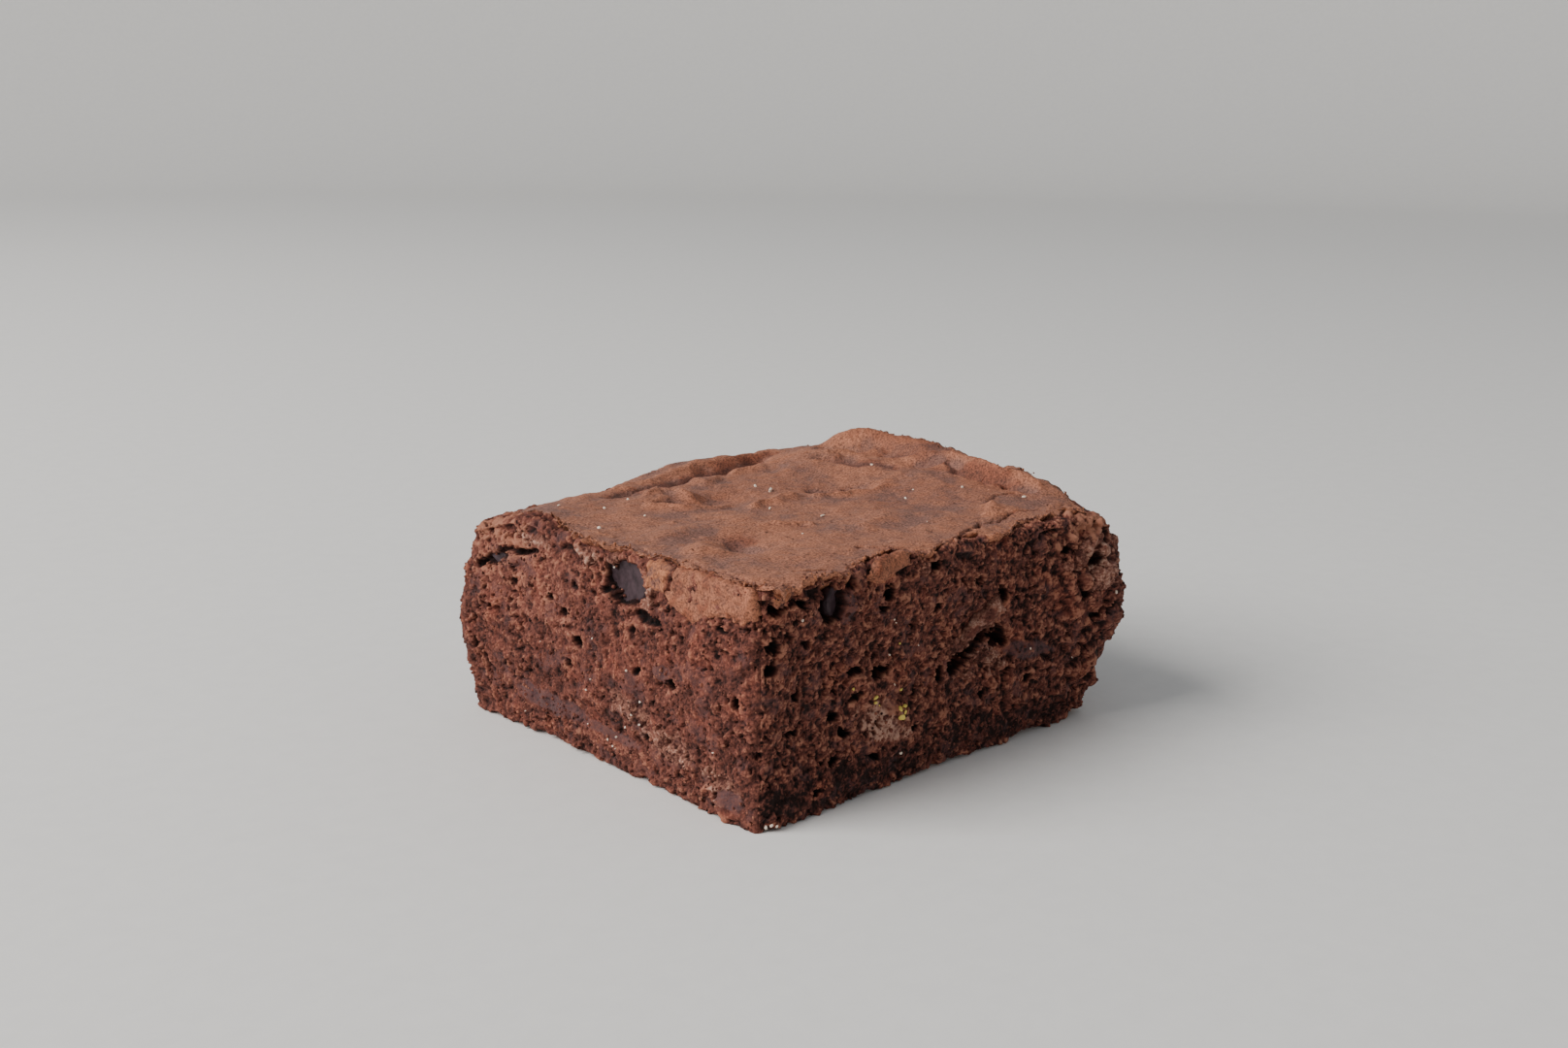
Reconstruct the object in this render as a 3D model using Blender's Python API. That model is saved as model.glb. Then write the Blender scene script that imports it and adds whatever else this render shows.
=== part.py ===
"""Chocolate brownie: one knife-cut block of cake, baked and cut as a single solid.

The block stands on its flat underside with its crust up. X runs along the longer cut side, Y along the
shorter one, and the origin is the middle of the base. The shape is worked out in millimetres and turned
into metres once, at the end.
"""

import math

import bmesh
import bpy
from mathutils import Matrix, Vector, noise

MM = 0.001

# Driving dimensions of the block, in millimetres
LENGTH = 70.0          # between the planes of the two shorter cut faces
WIDTH = 64.4           # between the planes of the two longer cut faces
HEIGHT = 31.9          # of the crust, away from its dents and its puffed rim
CORNER = 2.6           # rounding of the four upright edges
TOP_EDGE = 0.5         # softening of the crust's edge
BASE_EDGE = 0.25       # softening of the base's edge
CELL = 2.0             # spacing of the points that carry the shape
FACE_REACH = 10.0      # depth inside the block over which a face's swelling fades out
CRUST_REACH = 12.0     # depth below the crust over which its rise and fall fades out

# Puffed rim of crust along the +X side
RIM_HEIGHT = 4.6
RIM_INSET = 1.2        # from the +X face to the crest
RIM_SPREAD = 2.8
RIM_SLOPE = 13.0       # width of the gentle rise that leads up to the rim
RIM_SLOPE_SHARE = 0.6  # share of the height that the gentle rise has
RIM_SHOULDER = 0.65    # share of the height that the rim reaches first, from its low end
RIM_RISE = (-31.0, -15.0, 5.0)
RIM_FALL = (15.0, 30.0)
GROOVE_DEPTH = 0.8     # of the furrow along the foot of the rim
GROOVE_INSET = 4.6
GROOVE_SPREAD = 1.4

# Fall of the crust towards the +Y side, steepest at the -X corner
FALL_START = 22.0
FALL_POWER = 1.3
FALL_DEPTH = 2.5
FALL_FADE = (-14.0, 4.0)   # along X, where the fall fades out
FALL_CORNER = 1.3          # further fall at the corner
FALL_CORNER_END = -30.0    # and where along X that ends

# Swelling of the cut faces, outwards, in millimetres
LEFT_SWELL = 1.2       # -X face, at half height
LEFT_END_SWELL = 1.0   # and further towards its +Y end
LEFT_END_START = 8.0   # from this place along Y
BACK_END_SWELL = 2.1   # +Y face, at its -X end
BACK_SWELL = 1.2       # and at its +X end
END_SWELL = 3.7        # +X face, in its upper half
END_BACK = 0.45        # share of that lost towards +Y
END_FADE = (-20.0, 20.0)   # and where along Y it is lost
FRONT_END_SWELL = 3.4  # -Y face, towards its +X end
FRONT_END_START = 17.0     # from this place along X
FRONT_TUCK = 2.9       # -Y face, drawn in beside the near corner and under the crust
FRONT_TUCK_EASE = 0.72     # share of that lost away from the near corner
FRONT_TUCK_EASE_END = -14.0    # where along X that is lost
FRONT_TUCK_END = (8.0, 18.7)   # and where it fades out
FOOT_TUCK = 0.8        # +X face, just above the base
FOOT_TUCK_TOP = 6.0
FOOT_FLARE = 0.8       # -X and -Y faces, at the foot of the corner between them
FLARE_FADE = (-30.0, -8.0)     # where along either face it fades out
FLARE_TOP = (1.0, 6.0)         # and over which heights
STEP_X = 14.7          # torn step across the -Y face
STEP_HALF = 1.0
STEP_RISE = 0.7

# Where the swellings are up the faces: middle and half height
SIDE_BAND = (15.0, 18.0)       # -X and +Y faces
END_BAND = (19.5, 15.0)        # +X face and the +X end of the -Y face
TUCK_BAND = (15.5, 14.0)
STEP_BAND = (13.0, 12.0)

# Rise of the lower edges off the surface that the block stands on: middle, half length and height
FRONT_ARCH = (2.0, 15.0, 0.5)
LEFT_ARCH = (8.0, 15.0, 1.1)
ARCH_REACH = 7.0       # height over which that rise fades out

# Crumb and crust unevenness
CRUMB_RELIEF = 0.45
CRUMB_SCALE = 6.5
CRUMB_FINE_SHARE = 0.5     # height of the finer unevenness, as a share of the broad one's
CRUMB_FINE_SCALE = 0.45    # and its size
CRUMB_FOOT = 3.0           # height at which the crumb's unevenness is full
CRUST_RELIEF = 0.35
CRUST_SCALE = 13.0
CRUST_LEVEL = 40.0         # level at which the crust's unevenness is taken from the noise
HOLLOW_RELIEF = 0.16
HOLLOW_SCALE = 1.7

# Dents and rises of the crust: centre x, y, reach along x, along y, and height
CRUST_FORMS = (
    (-23.0, -10.5, 6.5, 4.0, -0.9),
    (-23.6, -2.9, 6.0, 2.4, 0.6),
    (-6.3, 9.8, 6.0, 4.0, -1.1),
    (-9.0, 14.0, 6.0, 2.2, 0.7),
    (13.2, 2.2, 5.5, 4.0, -0.9),
    (23.0, 19.0, 8.0, 7.0, 1.2),
    (5.0, 30.0, 10.0, 2.0, 0.8),
    (4.0, 26.0, 11.0, 1.8, -0.6),
    (-34.0, 17.0, 4.0, 4.5, 0.9),
    (-31.0, 25.5, 5.0, 5.0, -0.9),
)

# Hollows of the cut faces: name, distance along the face, height, half length, half height, depth, tilt in degrees
LEFT_HOLLOWS = (
    ("pocket_left", -5.5, 27.5, 4.1, 2.9, 3.6, 12.0),
    ("slit_left", 21.8, 26.1, 7.2, 1.0, 3.0, -16.0),
    ("pore_left_mid", 4.8, 16.8, 1.1, 0.9, 2.4, 0.0),
    ("pore_left_low", -15.5, 15.7, 1.1, 0.8, 2.2, 0.0),
)
FRONT_HOLLOWS = (
    ("pocket_front", -21.6, 27.6, 3.1, 2.7, 4.4, 0.0),
    ("pore_front_top", -10.9, 27.0, 1.5, 1.2, 2.8, 0.0),
    ("pore_front_mid", -12.3, 16.0, 2.2, 1.0, 2.6, 8.0),
    ("cavern_low", 4.6, 14.2, 2.6, 1.1, 3.4, 28.0),
    ("cavern_high", 9.4, 17.2, 3.9, 1.4, 4.0, 38.0),
    ("cavern_end", 13.2, 16.9, 2.0, 0.9, 3.2, -12.0),
)

CRUMB_COLOUR = (0.085, 0.034, 0.022, 1.0)
CRUMB_ROUGHNESS = 0.85
SHARP_ANGLE = 50.0     # in degrees
TOUCH = 0.01           # a point this close to the plain box's outside is on it


def clear_scene():
    """Remove every object that the scene starts with."""
    for obj in list(bpy.data.objects):
        bpy.data.objects.remove(obj, do_unlink=True)


def ramp(low, high, value):
    """Rise smoothly from 0 at low to 1 at high."""
    t = min(max((value - low) / (high - low), 0.0), 1.0)
    return t * t * (3.0 - 2.0 * t)


def swell(value, centre, half):
    """A smooth bump of height 1 at centre that ends at half on either side."""
    t = min(abs(value - centre) / half, 1.0)
    return 0.5 * (1.0 + math.cos(math.pi * t))


def hill(x, y, form):
    """Height of one dent or rise of the crust."""
    centre_x, centre_y, reach_x, reach_y, height = form
    return height * math.exp(-((x - centre_x) / reach_x) ** 2 - ((y - centre_y) / reach_y) ** 2)


def rim_rise(x, y):
    """Puffed rim along the +X side, with the furrow at its foot."""
    low, shoulder, top = RIM_RISE
    along = RIM_SHOULDER * ramp(low, shoulder, y) + (1.0 - RIM_SHOULDER) * ramp(shoulder, top, y)
    along *= 1.0 - ramp(*RIM_FALL, y)
    crest = LENGTH / 2 - RIM_INSET
    across = RIM_SLOPE_SHARE * math.exp(-((x - crest) / RIM_SLOPE) ** 2)
    across += (1.0 - RIM_SLOPE_SHARE) * math.exp(-((x - crest) / RIM_SPREAD) ** 2)
    groove = math.exp(-((x - crest + GROOVE_INSET) / GROOVE_SPREAD) ** 2)
    return along * (RIM_HEIGHT * across - GROOVE_DEPTH * groove)


def edge_fall(x, y):
    """Fall of the crust over its last few millimetres towards +Y."""
    side = max(0.0, (y - FALL_START) / (WIDTH / 2 - FALL_START)) ** FALL_POWER
    depth = FALL_DEPTH * (1.0 - ramp(*FALL_FADE, x))
    depth += FALL_CORNER * (1.0 - ramp(-LENGTH / 2, FALL_CORNER_END, x))
    return depth * side


def crust_height(x, y):
    """Height of the crust over the base."""
    forms = sum(hill(x, y, form) for form in CRUST_FORMS)
    ripple = noise.noise(Vector((x, y, CRUST_LEVEL)) / CRUST_SCALE)
    return HEIGHT + forms + rim_rise(x, y) - edge_fall(x, y) + CRUST_RELIEF * ripple


def foot_flare(along, z):
    """Outward swelling at the foot of the near corner, for a place along either of its faces."""
    return FOOT_FLARE * (1.0 - ramp(*FLARE_FADE, along)) * (1.0 - ramp(*FLARE_TOP, z))


def left_offset(y, z):
    """Outward swelling of the -X face."""
    size = LEFT_SWELL + LEFT_END_SWELL * ramp(LEFT_END_START, WIDTH / 2, y)
    return size * swell(z, *SIDE_BAND) + foot_flare(y, z)


def back_offset(x, z):
    """Outward swelling of the +Y face."""
    size = BACK_END_SWELL + (BACK_SWELL - BACK_END_SWELL) * ramp(-LENGTH / 2, 0.0, x)
    return size * swell(z, *SIDE_BAND)


def right_offset(y, z):
    """Outward swelling of the +X face, drawn in at its foot."""
    full = 1.0 - END_BACK * ramp(*END_FADE, y)
    return END_SWELL * full * swell(z, *END_BAND) - FOOT_TUCK * (1.0 - ramp(0.0, FOOT_TUCK_TOP, z))


def front_offset(x, z):
    """Outward swelling of the -Y face: tucked in near the corner, stepped, and full at its far end."""
    tuck = (1.0 - FRONT_TUCK_EASE * ramp(-LENGTH / 2, FRONT_TUCK_EASE_END, x)) * swell(z, *TUCK_BAND)
    tuck *= 1.0 - ramp(*FRONT_TUCK_END, x)
    step = STEP_RISE * ramp(STEP_X - STEP_HALF, STEP_X + STEP_HALF, x) * swell(z, *STEP_BAND)
    end = FRONT_END_SWELL * ramp(FRONT_END_START, LENGTH / 2, x) * swell(z, *END_BAND)
    return step + end + foot_flare(x, z) - FRONT_TUCK * tuck


def closeness(value, face, span):
    """1 on a face and falling to 0 inside the block, for a coordinate and the face's signed place."""
    return max(0.0, 1.0 - abs(face - value) / span) ** 2


def round_plan(x, y):
    """Pull a point of the rectangle onto the rectangle with rounded corners."""
    core_x = min(max(x, CORNER - LENGTH / 2), LENGTH / 2 - CORNER)
    core_y = min(max(y, CORNER - WIDTH / 2), WIDTH / 2 - CORNER)
    out = Vector((x - core_x, y - core_y))
    if out.length > 0.0:
        out = out.normalized() * max(abs(out.x), abs(out.y))
    return Vector((core_x + out.x, core_y + out.y))


def soften_edge(plan, x, y, z):
    """Draw the rim of the crust and of the base in by a little, and return the point."""
    on_outline = max(abs(x) - LENGTH / 2, abs(y) - WIDTH / 2) > -TOUCH
    amount = 0.0
    if on_outline and z > HEIGHT - TOUCH:
        amount = TOP_EDGE
        z -= amount
    elif on_outline and z < TOUCH:
        amount = BASE_EDGE
        z += amount
    shrink = Vector((1.0 - amount / (LENGTH / 2), 1.0 - amount / (WIDTH / 2)))
    return Vector((plan.x * shrink.x, plan.y * shrink.y, z))


def arch_rise(along, arch, gap):
    """Rise of a lower edge, for a place along it and the distance from its face."""
    middle, half, height = arch
    return height * swell(along, middle, half) * closeness(gap, 0.0, CELL)


def shape_point(p):
    """Move one point of the plain box to its place on the brownie."""
    x, y, z = p
    q = soften_edge(round_plan(x, y), x, y, z)
    q.x -= closeness(x, -LENGTH / 2, FACE_REACH) * left_offset(y, z)
    q.x += closeness(x, LENGTH / 2, FACE_REACH) * right_offset(y, z)
    q.y -= closeness(y, -WIDTH / 2, FACE_REACH) * front_offset(x, z)
    q.y += closeness(y, WIDTH / 2, FACE_REACH) * back_offset(x, z)
    q.z += (crust_height(q.x, q.y) - HEIGHT) * ramp(HEIGHT - CRUST_REACH, HEIGHT, z)
    lift = arch_rise(x, FRONT_ARCH, y + WIDTH / 2) + arch_rise(y, LEFT_ARCH, x + LENGTH / 2)
    q.z += lift * closeness(z, 0.0, ARCH_REACH)
    return q


def roughen(bm):
    """Give the cut faces the slow unevenness of torn crumb, and keep the base flat."""
    bm.normal_update()
    for vert in bm.verts:
        side = 1.0 - abs(vert.normal.z)
        lift = ramp(0.0, CRUMB_FOOT, vert.co.z)
        fine = noise.noise(vert.co / (CRUMB_FINE_SCALE * CRUMB_SCALE))
        push = noise.noise(vert.co / CRUMB_SCALE) + CRUMB_FINE_SHARE * fine
        vert.co += vert.normal * (CRUMB_RELIEF * push * side * lift)


def subdivide_along(bm, axis, spacing, length):
    """Cut the box into strips along one axis."""
    edges = []
    for edge in bm.edges:
        run = edge.verts[1].co - edge.verts[0].co
        if abs(run[axis]) > 0.5 * length:
            edges.append(edge)
    bmesh.ops.subdivide_edges(bm, edges=edges, cuts=round(length / spacing) - 1, use_grid_fill=True)


def flatten_base(bm):
    """Join the faces inside the base's outline into one flat face."""
    inner = []
    for face in bm.faces:
        if max(abs(v.co.z) for v in face.verts) > TOUCH:
            continue
        inside_x = max(abs(v.co.x) for v in face.verts) < LENGTH / 2 - 0.5 * CELL
        inside_y = max(abs(v.co.y) for v in face.verts) < WIDTH / 2 - 0.5 * CELL
        if inside_x and inside_y:
            inner.append(face)
    bmesh.ops.dissolve_faces(bm, faces=inner, use_verts=True)


def block_mesh():
    """The shaped block, in millimetres."""
    bm = bmesh.new()
    bmesh.ops.create_cube(bm, size=1.0)
    bmesh.ops.scale(bm, vec=(LENGTH, WIDTH, HEIGHT), verts=bm.verts)
    bmesh.ops.translate(bm, vec=(0.0, 0.0, HEIGHT / 2), verts=bm.verts)
    for axis, length in enumerate((LENGTH, WIDTH, HEIGHT)):
        subdivide_along(bm, axis, CELL, length)
    flatten_base(bm)
    for vert in bm.verts:
        vert.co = shape_point(vert.co.copy())
    roughen(bm)
    return bm


def hollow_mesh(along, height, half_length, half_height, depth, tilt, face):
    """One lumpy hollow of a cut face as a closed cutter, in millimetres."""
    bm = bmesh.new()
    bmesh.ops.create_icosphere(bm, subdivisions=2, radius=1.0)
    for vert in bm.verts:
        lumps = noise.noise(vert.co * HOLLOW_SCALE + Vector((along, height, 0.0)))
        vert.co *= 1.0 + HOLLOW_RELIEF * lumps
    bmesh.ops.scale(bm, vec=(half_length, depth, half_height), verts=bm.verts)
    bmesh.ops.rotate(bm, matrix=Matrix.Rotation(math.radians(-tilt), 3, "Y"), verts=bm.verts)
    if face == "front":
        middle = (along, front_plane(along, height), height)
    else:
        bmesh.ops.rotate(bm, matrix=Matrix.Rotation(math.radians(90.0), 3, "Z"), verts=bm.verts)
        middle = (left_plane(along, height), along, height)
    bmesh.ops.translate(bm, vec=middle, verts=bm.verts)
    return bm


def front_plane(x, z):
    """Place of the -Y face at one spot."""
    return -WIDTH / 2 - front_offset(x, z)


def left_plane(y, z):
    """Place of the -X face at one spot."""
    return -LENGTH / 2 - left_offset(y, z)


def link_mesh(bm, name):
    """Turn a bmesh in millimetres into a scene object in metres."""
    bmesh.ops.scale(bm, vec=(MM, MM, MM), verts=bm.verts)
    bmesh.ops.recalc_face_normals(bm, faces=bm.faces)
    mesh = bpy.data.meshes.new(name)
    bm.to_mesh(mesh)
    bm.free()
    obj = bpy.data.objects.new(name, mesh)
    bpy.context.scene.collection.objects.link(obj)
    return obj


def crumb_material():
    """Matt dark chocolate crumb."""
    material = bpy.data.materials.new("crumb")
    material.use_nodes = True
    shader = material.node_tree.nodes["Principled BSDF"]
    shader.inputs["Base Color"].default_value = CRUMB_COLOUR
    shader.inputs["Roughness"].default_value = CRUMB_ROUGHNESS
    shader.inputs["Metallic"].default_value = 0.0
    return material


def cut_hollow(target, hollow, face):
    """Add one cutter and the Boolean that sinks it into the block."""
    name, along, height, half_length, half_height, depth, tilt = hollow
    bm = hollow_mesh(along, height, half_length, half_height, depth, tilt, face)
    cutter = link_mesh(bm, f"cut_{name}")
    cutter.hide_render = True
    cutter.display_type = "WIRE"
    boolean = target.modifiers.new(name, "BOOLEAN")
    boolean.operation = "DIFFERENCE"
    boolean.solver = "EXACT"
    boolean.object = cutter


def plan_middle(bm):
    """Middle of the block's outline seen from above, in millimetres."""
    xs = [vert.co.x for vert in bm.verts]
    ys = [vert.co.y for vert in bm.verts]
    return (min(xs) + max(xs)) / 2, (min(ys) + max(ys)) / 2


def make_brownie():
    """Build the brownie with its hollows, centred on the origin."""
    bm = block_mesh()
    middle_x, middle_y = plan_middle(bm)
    brownie = link_mesh(bm, "brownie")
    brownie.data.materials.append(crumb_material())
    for hollow in LEFT_HOLLOWS:
        cut_hollow(brownie, hollow, "left")
    for hollow in FRONT_HOLLOWS:
        cut_hollow(brownie, hollow, "front")
    for obj in bpy.data.objects:
        obj.location = (-middle_x * MM, -middle_y * MM, 0.0)
    brownie.data.shade_smooth()
    brownie.data.set_sharp_from_angle(angle=math.radians(SHARP_ANGLE))


def main():
    clear_scene()
    make_brownie()


if __name__ == "__main__":
    main()
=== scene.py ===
"""Chocolate brownie: torn crumb, crust, melted chocolate, loose crumbs, sugar and golden flecks.

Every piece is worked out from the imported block. Places and sizes are in millimetres with the origin in the
middle of the base, and become metres when a mesh is finished.
"""

import math
from functools import lru_cache
from itertools import product

import bmesh
import bpy
import numpy as np
from bpy.props import FloatProperty, FloatVectorProperty, PointerProperty
from mathutils import Euler, Matrix, Vector
from mathutils.bvhtree import BVHTree


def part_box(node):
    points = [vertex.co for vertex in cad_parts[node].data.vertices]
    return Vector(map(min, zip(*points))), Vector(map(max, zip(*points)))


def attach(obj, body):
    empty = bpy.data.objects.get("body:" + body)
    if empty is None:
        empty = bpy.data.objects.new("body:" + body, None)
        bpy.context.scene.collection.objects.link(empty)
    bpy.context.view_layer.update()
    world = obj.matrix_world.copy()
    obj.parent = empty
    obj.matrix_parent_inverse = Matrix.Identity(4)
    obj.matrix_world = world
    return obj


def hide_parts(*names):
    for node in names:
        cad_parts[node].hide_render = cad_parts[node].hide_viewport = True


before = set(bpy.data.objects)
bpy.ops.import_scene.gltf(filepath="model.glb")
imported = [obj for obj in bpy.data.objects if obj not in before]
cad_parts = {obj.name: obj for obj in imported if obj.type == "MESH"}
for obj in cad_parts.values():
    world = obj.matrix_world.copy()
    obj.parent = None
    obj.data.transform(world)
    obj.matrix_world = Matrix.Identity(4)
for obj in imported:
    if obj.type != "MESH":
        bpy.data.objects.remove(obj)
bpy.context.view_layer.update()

bl_info = {
    "name": "Chocolate Brownie",
    "version": (1, 0, 0),
    "blender": (4, 5, 0),
    "location": "3D View > Sidebar > Brownie",
    "description": "Models the crumb, crust and small pieces of a chocolate brownie around its packed block",
    "category": "Add Mesh",
}

MM = 0.001

# The four cut faces in order round the block, with the direction along each and the direction out of it
FACES = ("left", "front", "right", "back")
NEAR_FACES = ("left", "front")
END_FACES = ("left", "right")
RUN = {"left": (0.0, -1.0), "front": (1.0, 0.0), "right": (0.0, 1.0), "back": (-1.0, 0.0)}
OUT = {"left": (-1.0, 0.0), "front": (0.0, -1.0), "right": (1.0, 0.0), "back": (0.0, 1.0)}

# The rectangle that the cut faces swell out from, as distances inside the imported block's box
SWELL = {"left": 2.195, "front": 3.415, "right": 3.933, "back": 2.043}
CORNER = 3.0           # rounding of the upright edges
EDGE = 1.2             # rounding of the crumb's top edge
FOOT = 2.5             # width of the strip that turns in under each face
SHELF = 8.0            # width of the strip that runs in under the crust from each face
SLAB = 9.5             # thickness of the slab of crumb behind each face
CORE_TOP = 25.0
CORE_OVERLAP = 0.2     # how far the core reaches into each slab

# Corners of the top that have worn down: x, y, reach and depth
WORN_CORNERS = ((36.0, -32.0, 5.5, 2.4), (-36.0, 32.0, 3.0, 0.6))

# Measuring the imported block
RAY_START = 20.0       # outside the plan, or below the ground
RAY_HEIGHT = 60.0      # of the rays that come down on the top
SIDE_STEPS = 64        # samples along each face
HEIGHT_STEP = 0.5
HEIGHT_SAMPLES = 66
LOWEST_RAY = 0.05
FOOT_MARGIN = 0.8      # the lower edge is measured this far inside the plan
PLAN_STEP = 1.0
PLAN_MARGIN = 1.6      # the top is measured this far inside its edge
HOLLOW_WINDOW = 7      # samples; a hollow narrower than twice this is bridged
HOLLOW_DEPTH = 0.6
MISS_DEPTH = 5.0       # a ray that misses the block counts as this much deeper than the deepest
HEALING_ROUNDS = 200

# Steps along a face and in stages up it over which its direction is taken
NORMAL_STEP = 0.15
NORMAL_LIFT = 0.006

# Spacing of the points that carry each surface
FINE = 0.18            # the near faces
COARSE = 0.32          # the far faces
CRUST_CELL = 0.25
CORE_CELL = 0.8

# Depth over which a hollow or a patch reaches behind a face
ELLIPSE_DEPTH = 5.0

# Rows of points up a face: the foot strip's count, and the lengths that the other rows are spaced out on
FOOT_ROWS = 6
WALL_ROWS_HEIGHT = 31.0
EDGE_ROWS_LENGTH = 1.9
SHELF_ROWS_LENGTH = 5.0

# Hollows torn in each cut face: place along it, height, half length, half height, depth and tilt in degrees.
# A place along the front or back is its x, and along the left or right its y.
HOLLOWS = {
    "left": (
        (-4.9, 27.6, 4.6, 3.1, 3.6, 10.0), (-14.7, 29.0, 2.4, 0.45, 1.3, -50.0),
        (25.2, 25.2, 4.6, 1.1, 1.6, -20.0), (18.2, 27.3, 3.2, 0.5, 1.5, -12.0),
        (4.9, 17.2, 1.1, 1.0, 2.4, 0.0), (7.3, 13.3, 0.7, 0.7, 1.6, 0.0),
        (-15.2, 16.1, 1.2, 0.8, 2.2, 15.0), (-8.3, 16.2, 1.1, 0.6, 1.6, -30.0),
        (8.6, 20.7, 1.1, 0.6, 1.6, 10.0), (-0.4, 25.8, 0.9, 0.7, 1.5, 45.0),
        (-9.7, 30.6, 1.0, 0.7, 1.8, 20.0), (-8.9, 24.2, 1.9, 0.9, 1.1, 20.0),
        (-11.6, 23.6, 1.5, 0.8, 1.1, 0.0), (-7.3, 21.4, 0.6, 0.9, 0.9, 10.0),
        (20.1, 22.6, 0.8, 0.6, 1.2, 0.0), (11.3, 22.2, 0.7, 0.5, 1.2, 0.0),
        (6.0, 24.9, 0.8, 0.5, 1.3, 0.0), (27.3, 9.4, 3.2, 0.6, 1.2, 53.0),
        (22.0, 9.7, 0.8, 0.6, 1.2, 0.0), (-9.7, 6.9, 0.9, 0.6, 1.3, 20.0),
        (-24.9, 25.6, 1.3, 0.5, 1.4, 15.0), (-27.5, 16.5, 0.8, 1.1, 1.6, 10.0),
    ),
    "front": (
        (-23.0, 28.0, 2.5, 2.8, 4.6, 0.0), (-19.6, 30.2, 0.95, 1.1, 2.6, 0.0),
        (-12.4, 27.4, 1.5, 1.3, 2.6, 0.0), (-13.4, 25.5, 1.2, 0.6, 1.9, 0.0),
        (-13.4, 16.5, 2.6, 1.0, 2.8, 4.0), (-18.0, 17.7, 1.3, 0.6, 1.6, -10.0),
        (3.2, 14.8, 2.9, 1.7, 3.4, 30.0), (6.8, 17.6, 4.2, 1.6, 3.8, 42.0),
        (10.8, 16.4, 2.4, 1.5, 3.4, -35.0), (-1.3, 13.5, 0.9, 1.4, 2.2, 0.0),
        (-33.0, 24.2, 1.2, 1.4, 2.0, 0.0), (-33.2, 21.2, 1.0, 1.1, 2.0, 0.0),
        (-29.6, 29.4, 1.6, 0.8, 2.2, -10.0), (-32.6, 29.0, 1.6, 1.0, 2.4, 0.0),
        (-27.4, 23.4, 0.8, 0.6, 1.4, 0.0), (-28.6, 16.5, 0.9, 0.7, 1.5, 0.0),
        (-29.2, 11.8, 1.6, 0.6, 1.6, 0.0), (-21.5, 12.1, 1.0, 0.7, 1.7, 0.0),
        (-17.5, 13.9, 1.7, 0.6, 1.6, 15.0), (-19.6, 9.4, 1.3, 0.7, 1.8, 0.0),
        (-22.0, 6.2, 1.1, 0.6, 1.6, 10.0), (-25.6, 3.0, 0.8, 0.6, 1.5, 0.0),
        (-14.6, 5.0, 1.5, 0.5, 1.6, -25.0), (-6.6, 7.2, 0.9, 0.6, 1.5, 0.0),
        (7.3, 8.7, 0.9, 0.6, 1.5, 20.0), (16.7, 9.5, 1.0, 0.8, 1.8, 0.0), (21.3, 9.6, 0.8, 0.7, 1.6, 0.0),
        (-2.7, 23.7, 1.0, 0.7, 1.6, 0.0), (-4.6, 29.6, 2.2, 0.7, 1.8, 12.0),
        (11.4, 22.8, 0.8, 1.4, 1.6, 10.0), (29.6, 17.0, 1.0, 0.8, 1.8, 30.0),
        (29.8, 25.3, 1.3, 1.1, 2.4, 0.0), (32.6, 18.0, 1.6, 0.6, 1.8, 40.0),
        (27.0, 20.4, 1.8, 0.5, 1.6, 10.0), (24.0, 27.4, 1.4, 0.6, 1.8, 20.0),
    ),
    "right": (
        (-27.0, 26.0, 1.6, 1.0, 2.2, 30.0), (-16.0, 21.0, 2.4, 1.1, 2.4, 20.0),
        (-13.0, 22.6, 1.4, 0.8, 2.0, -40.0), (-21.0, 9.0, 1.3, 0.7, 1.8, 0.0),
        (-4.0, 28.0, 1.2, 0.7, 1.8, 0.0), (6.0, 12.0, 1.5, 0.9, 1.8, -15.0),
        (8.6, 13.0, 0.9, 0.7, 1.6, 30.0), (14.0, 6.0, 1.1, 0.7, 1.6, 0.0),
        (19.0, 24.0, 1.8, 0.9, 2.0, 10.0), (27.0, 15.0, 1.2, 0.8, 1.8, 45.0),
    ),
    "back": (
        (27.0, 12.0, 1.2, 0.8, 1.8, 0.0), (17.0, 22.0, 2.1, 0.9, 2.2, 15.0),
        (14.4, 20.8, 1.2, 0.7, 1.8, -30.0), (8.0, 7.0, 1.3, 0.6, 1.6, 10.0),
        (3.0, 26.0, 1.1, 0.8, 1.8, 0.0), (-8.0, 13.0, 1.4, 0.8, 1.8, 0.0),
        (-14.0, 18.0, 0.9, 0.7, 1.6, 20.0), (-22.0, 24.0, 1.9, 0.8, 2.0, -20.0),
        (-27.0, 9.0, 1.2, 0.8, 1.8, 0.0),
    ),
}

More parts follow.
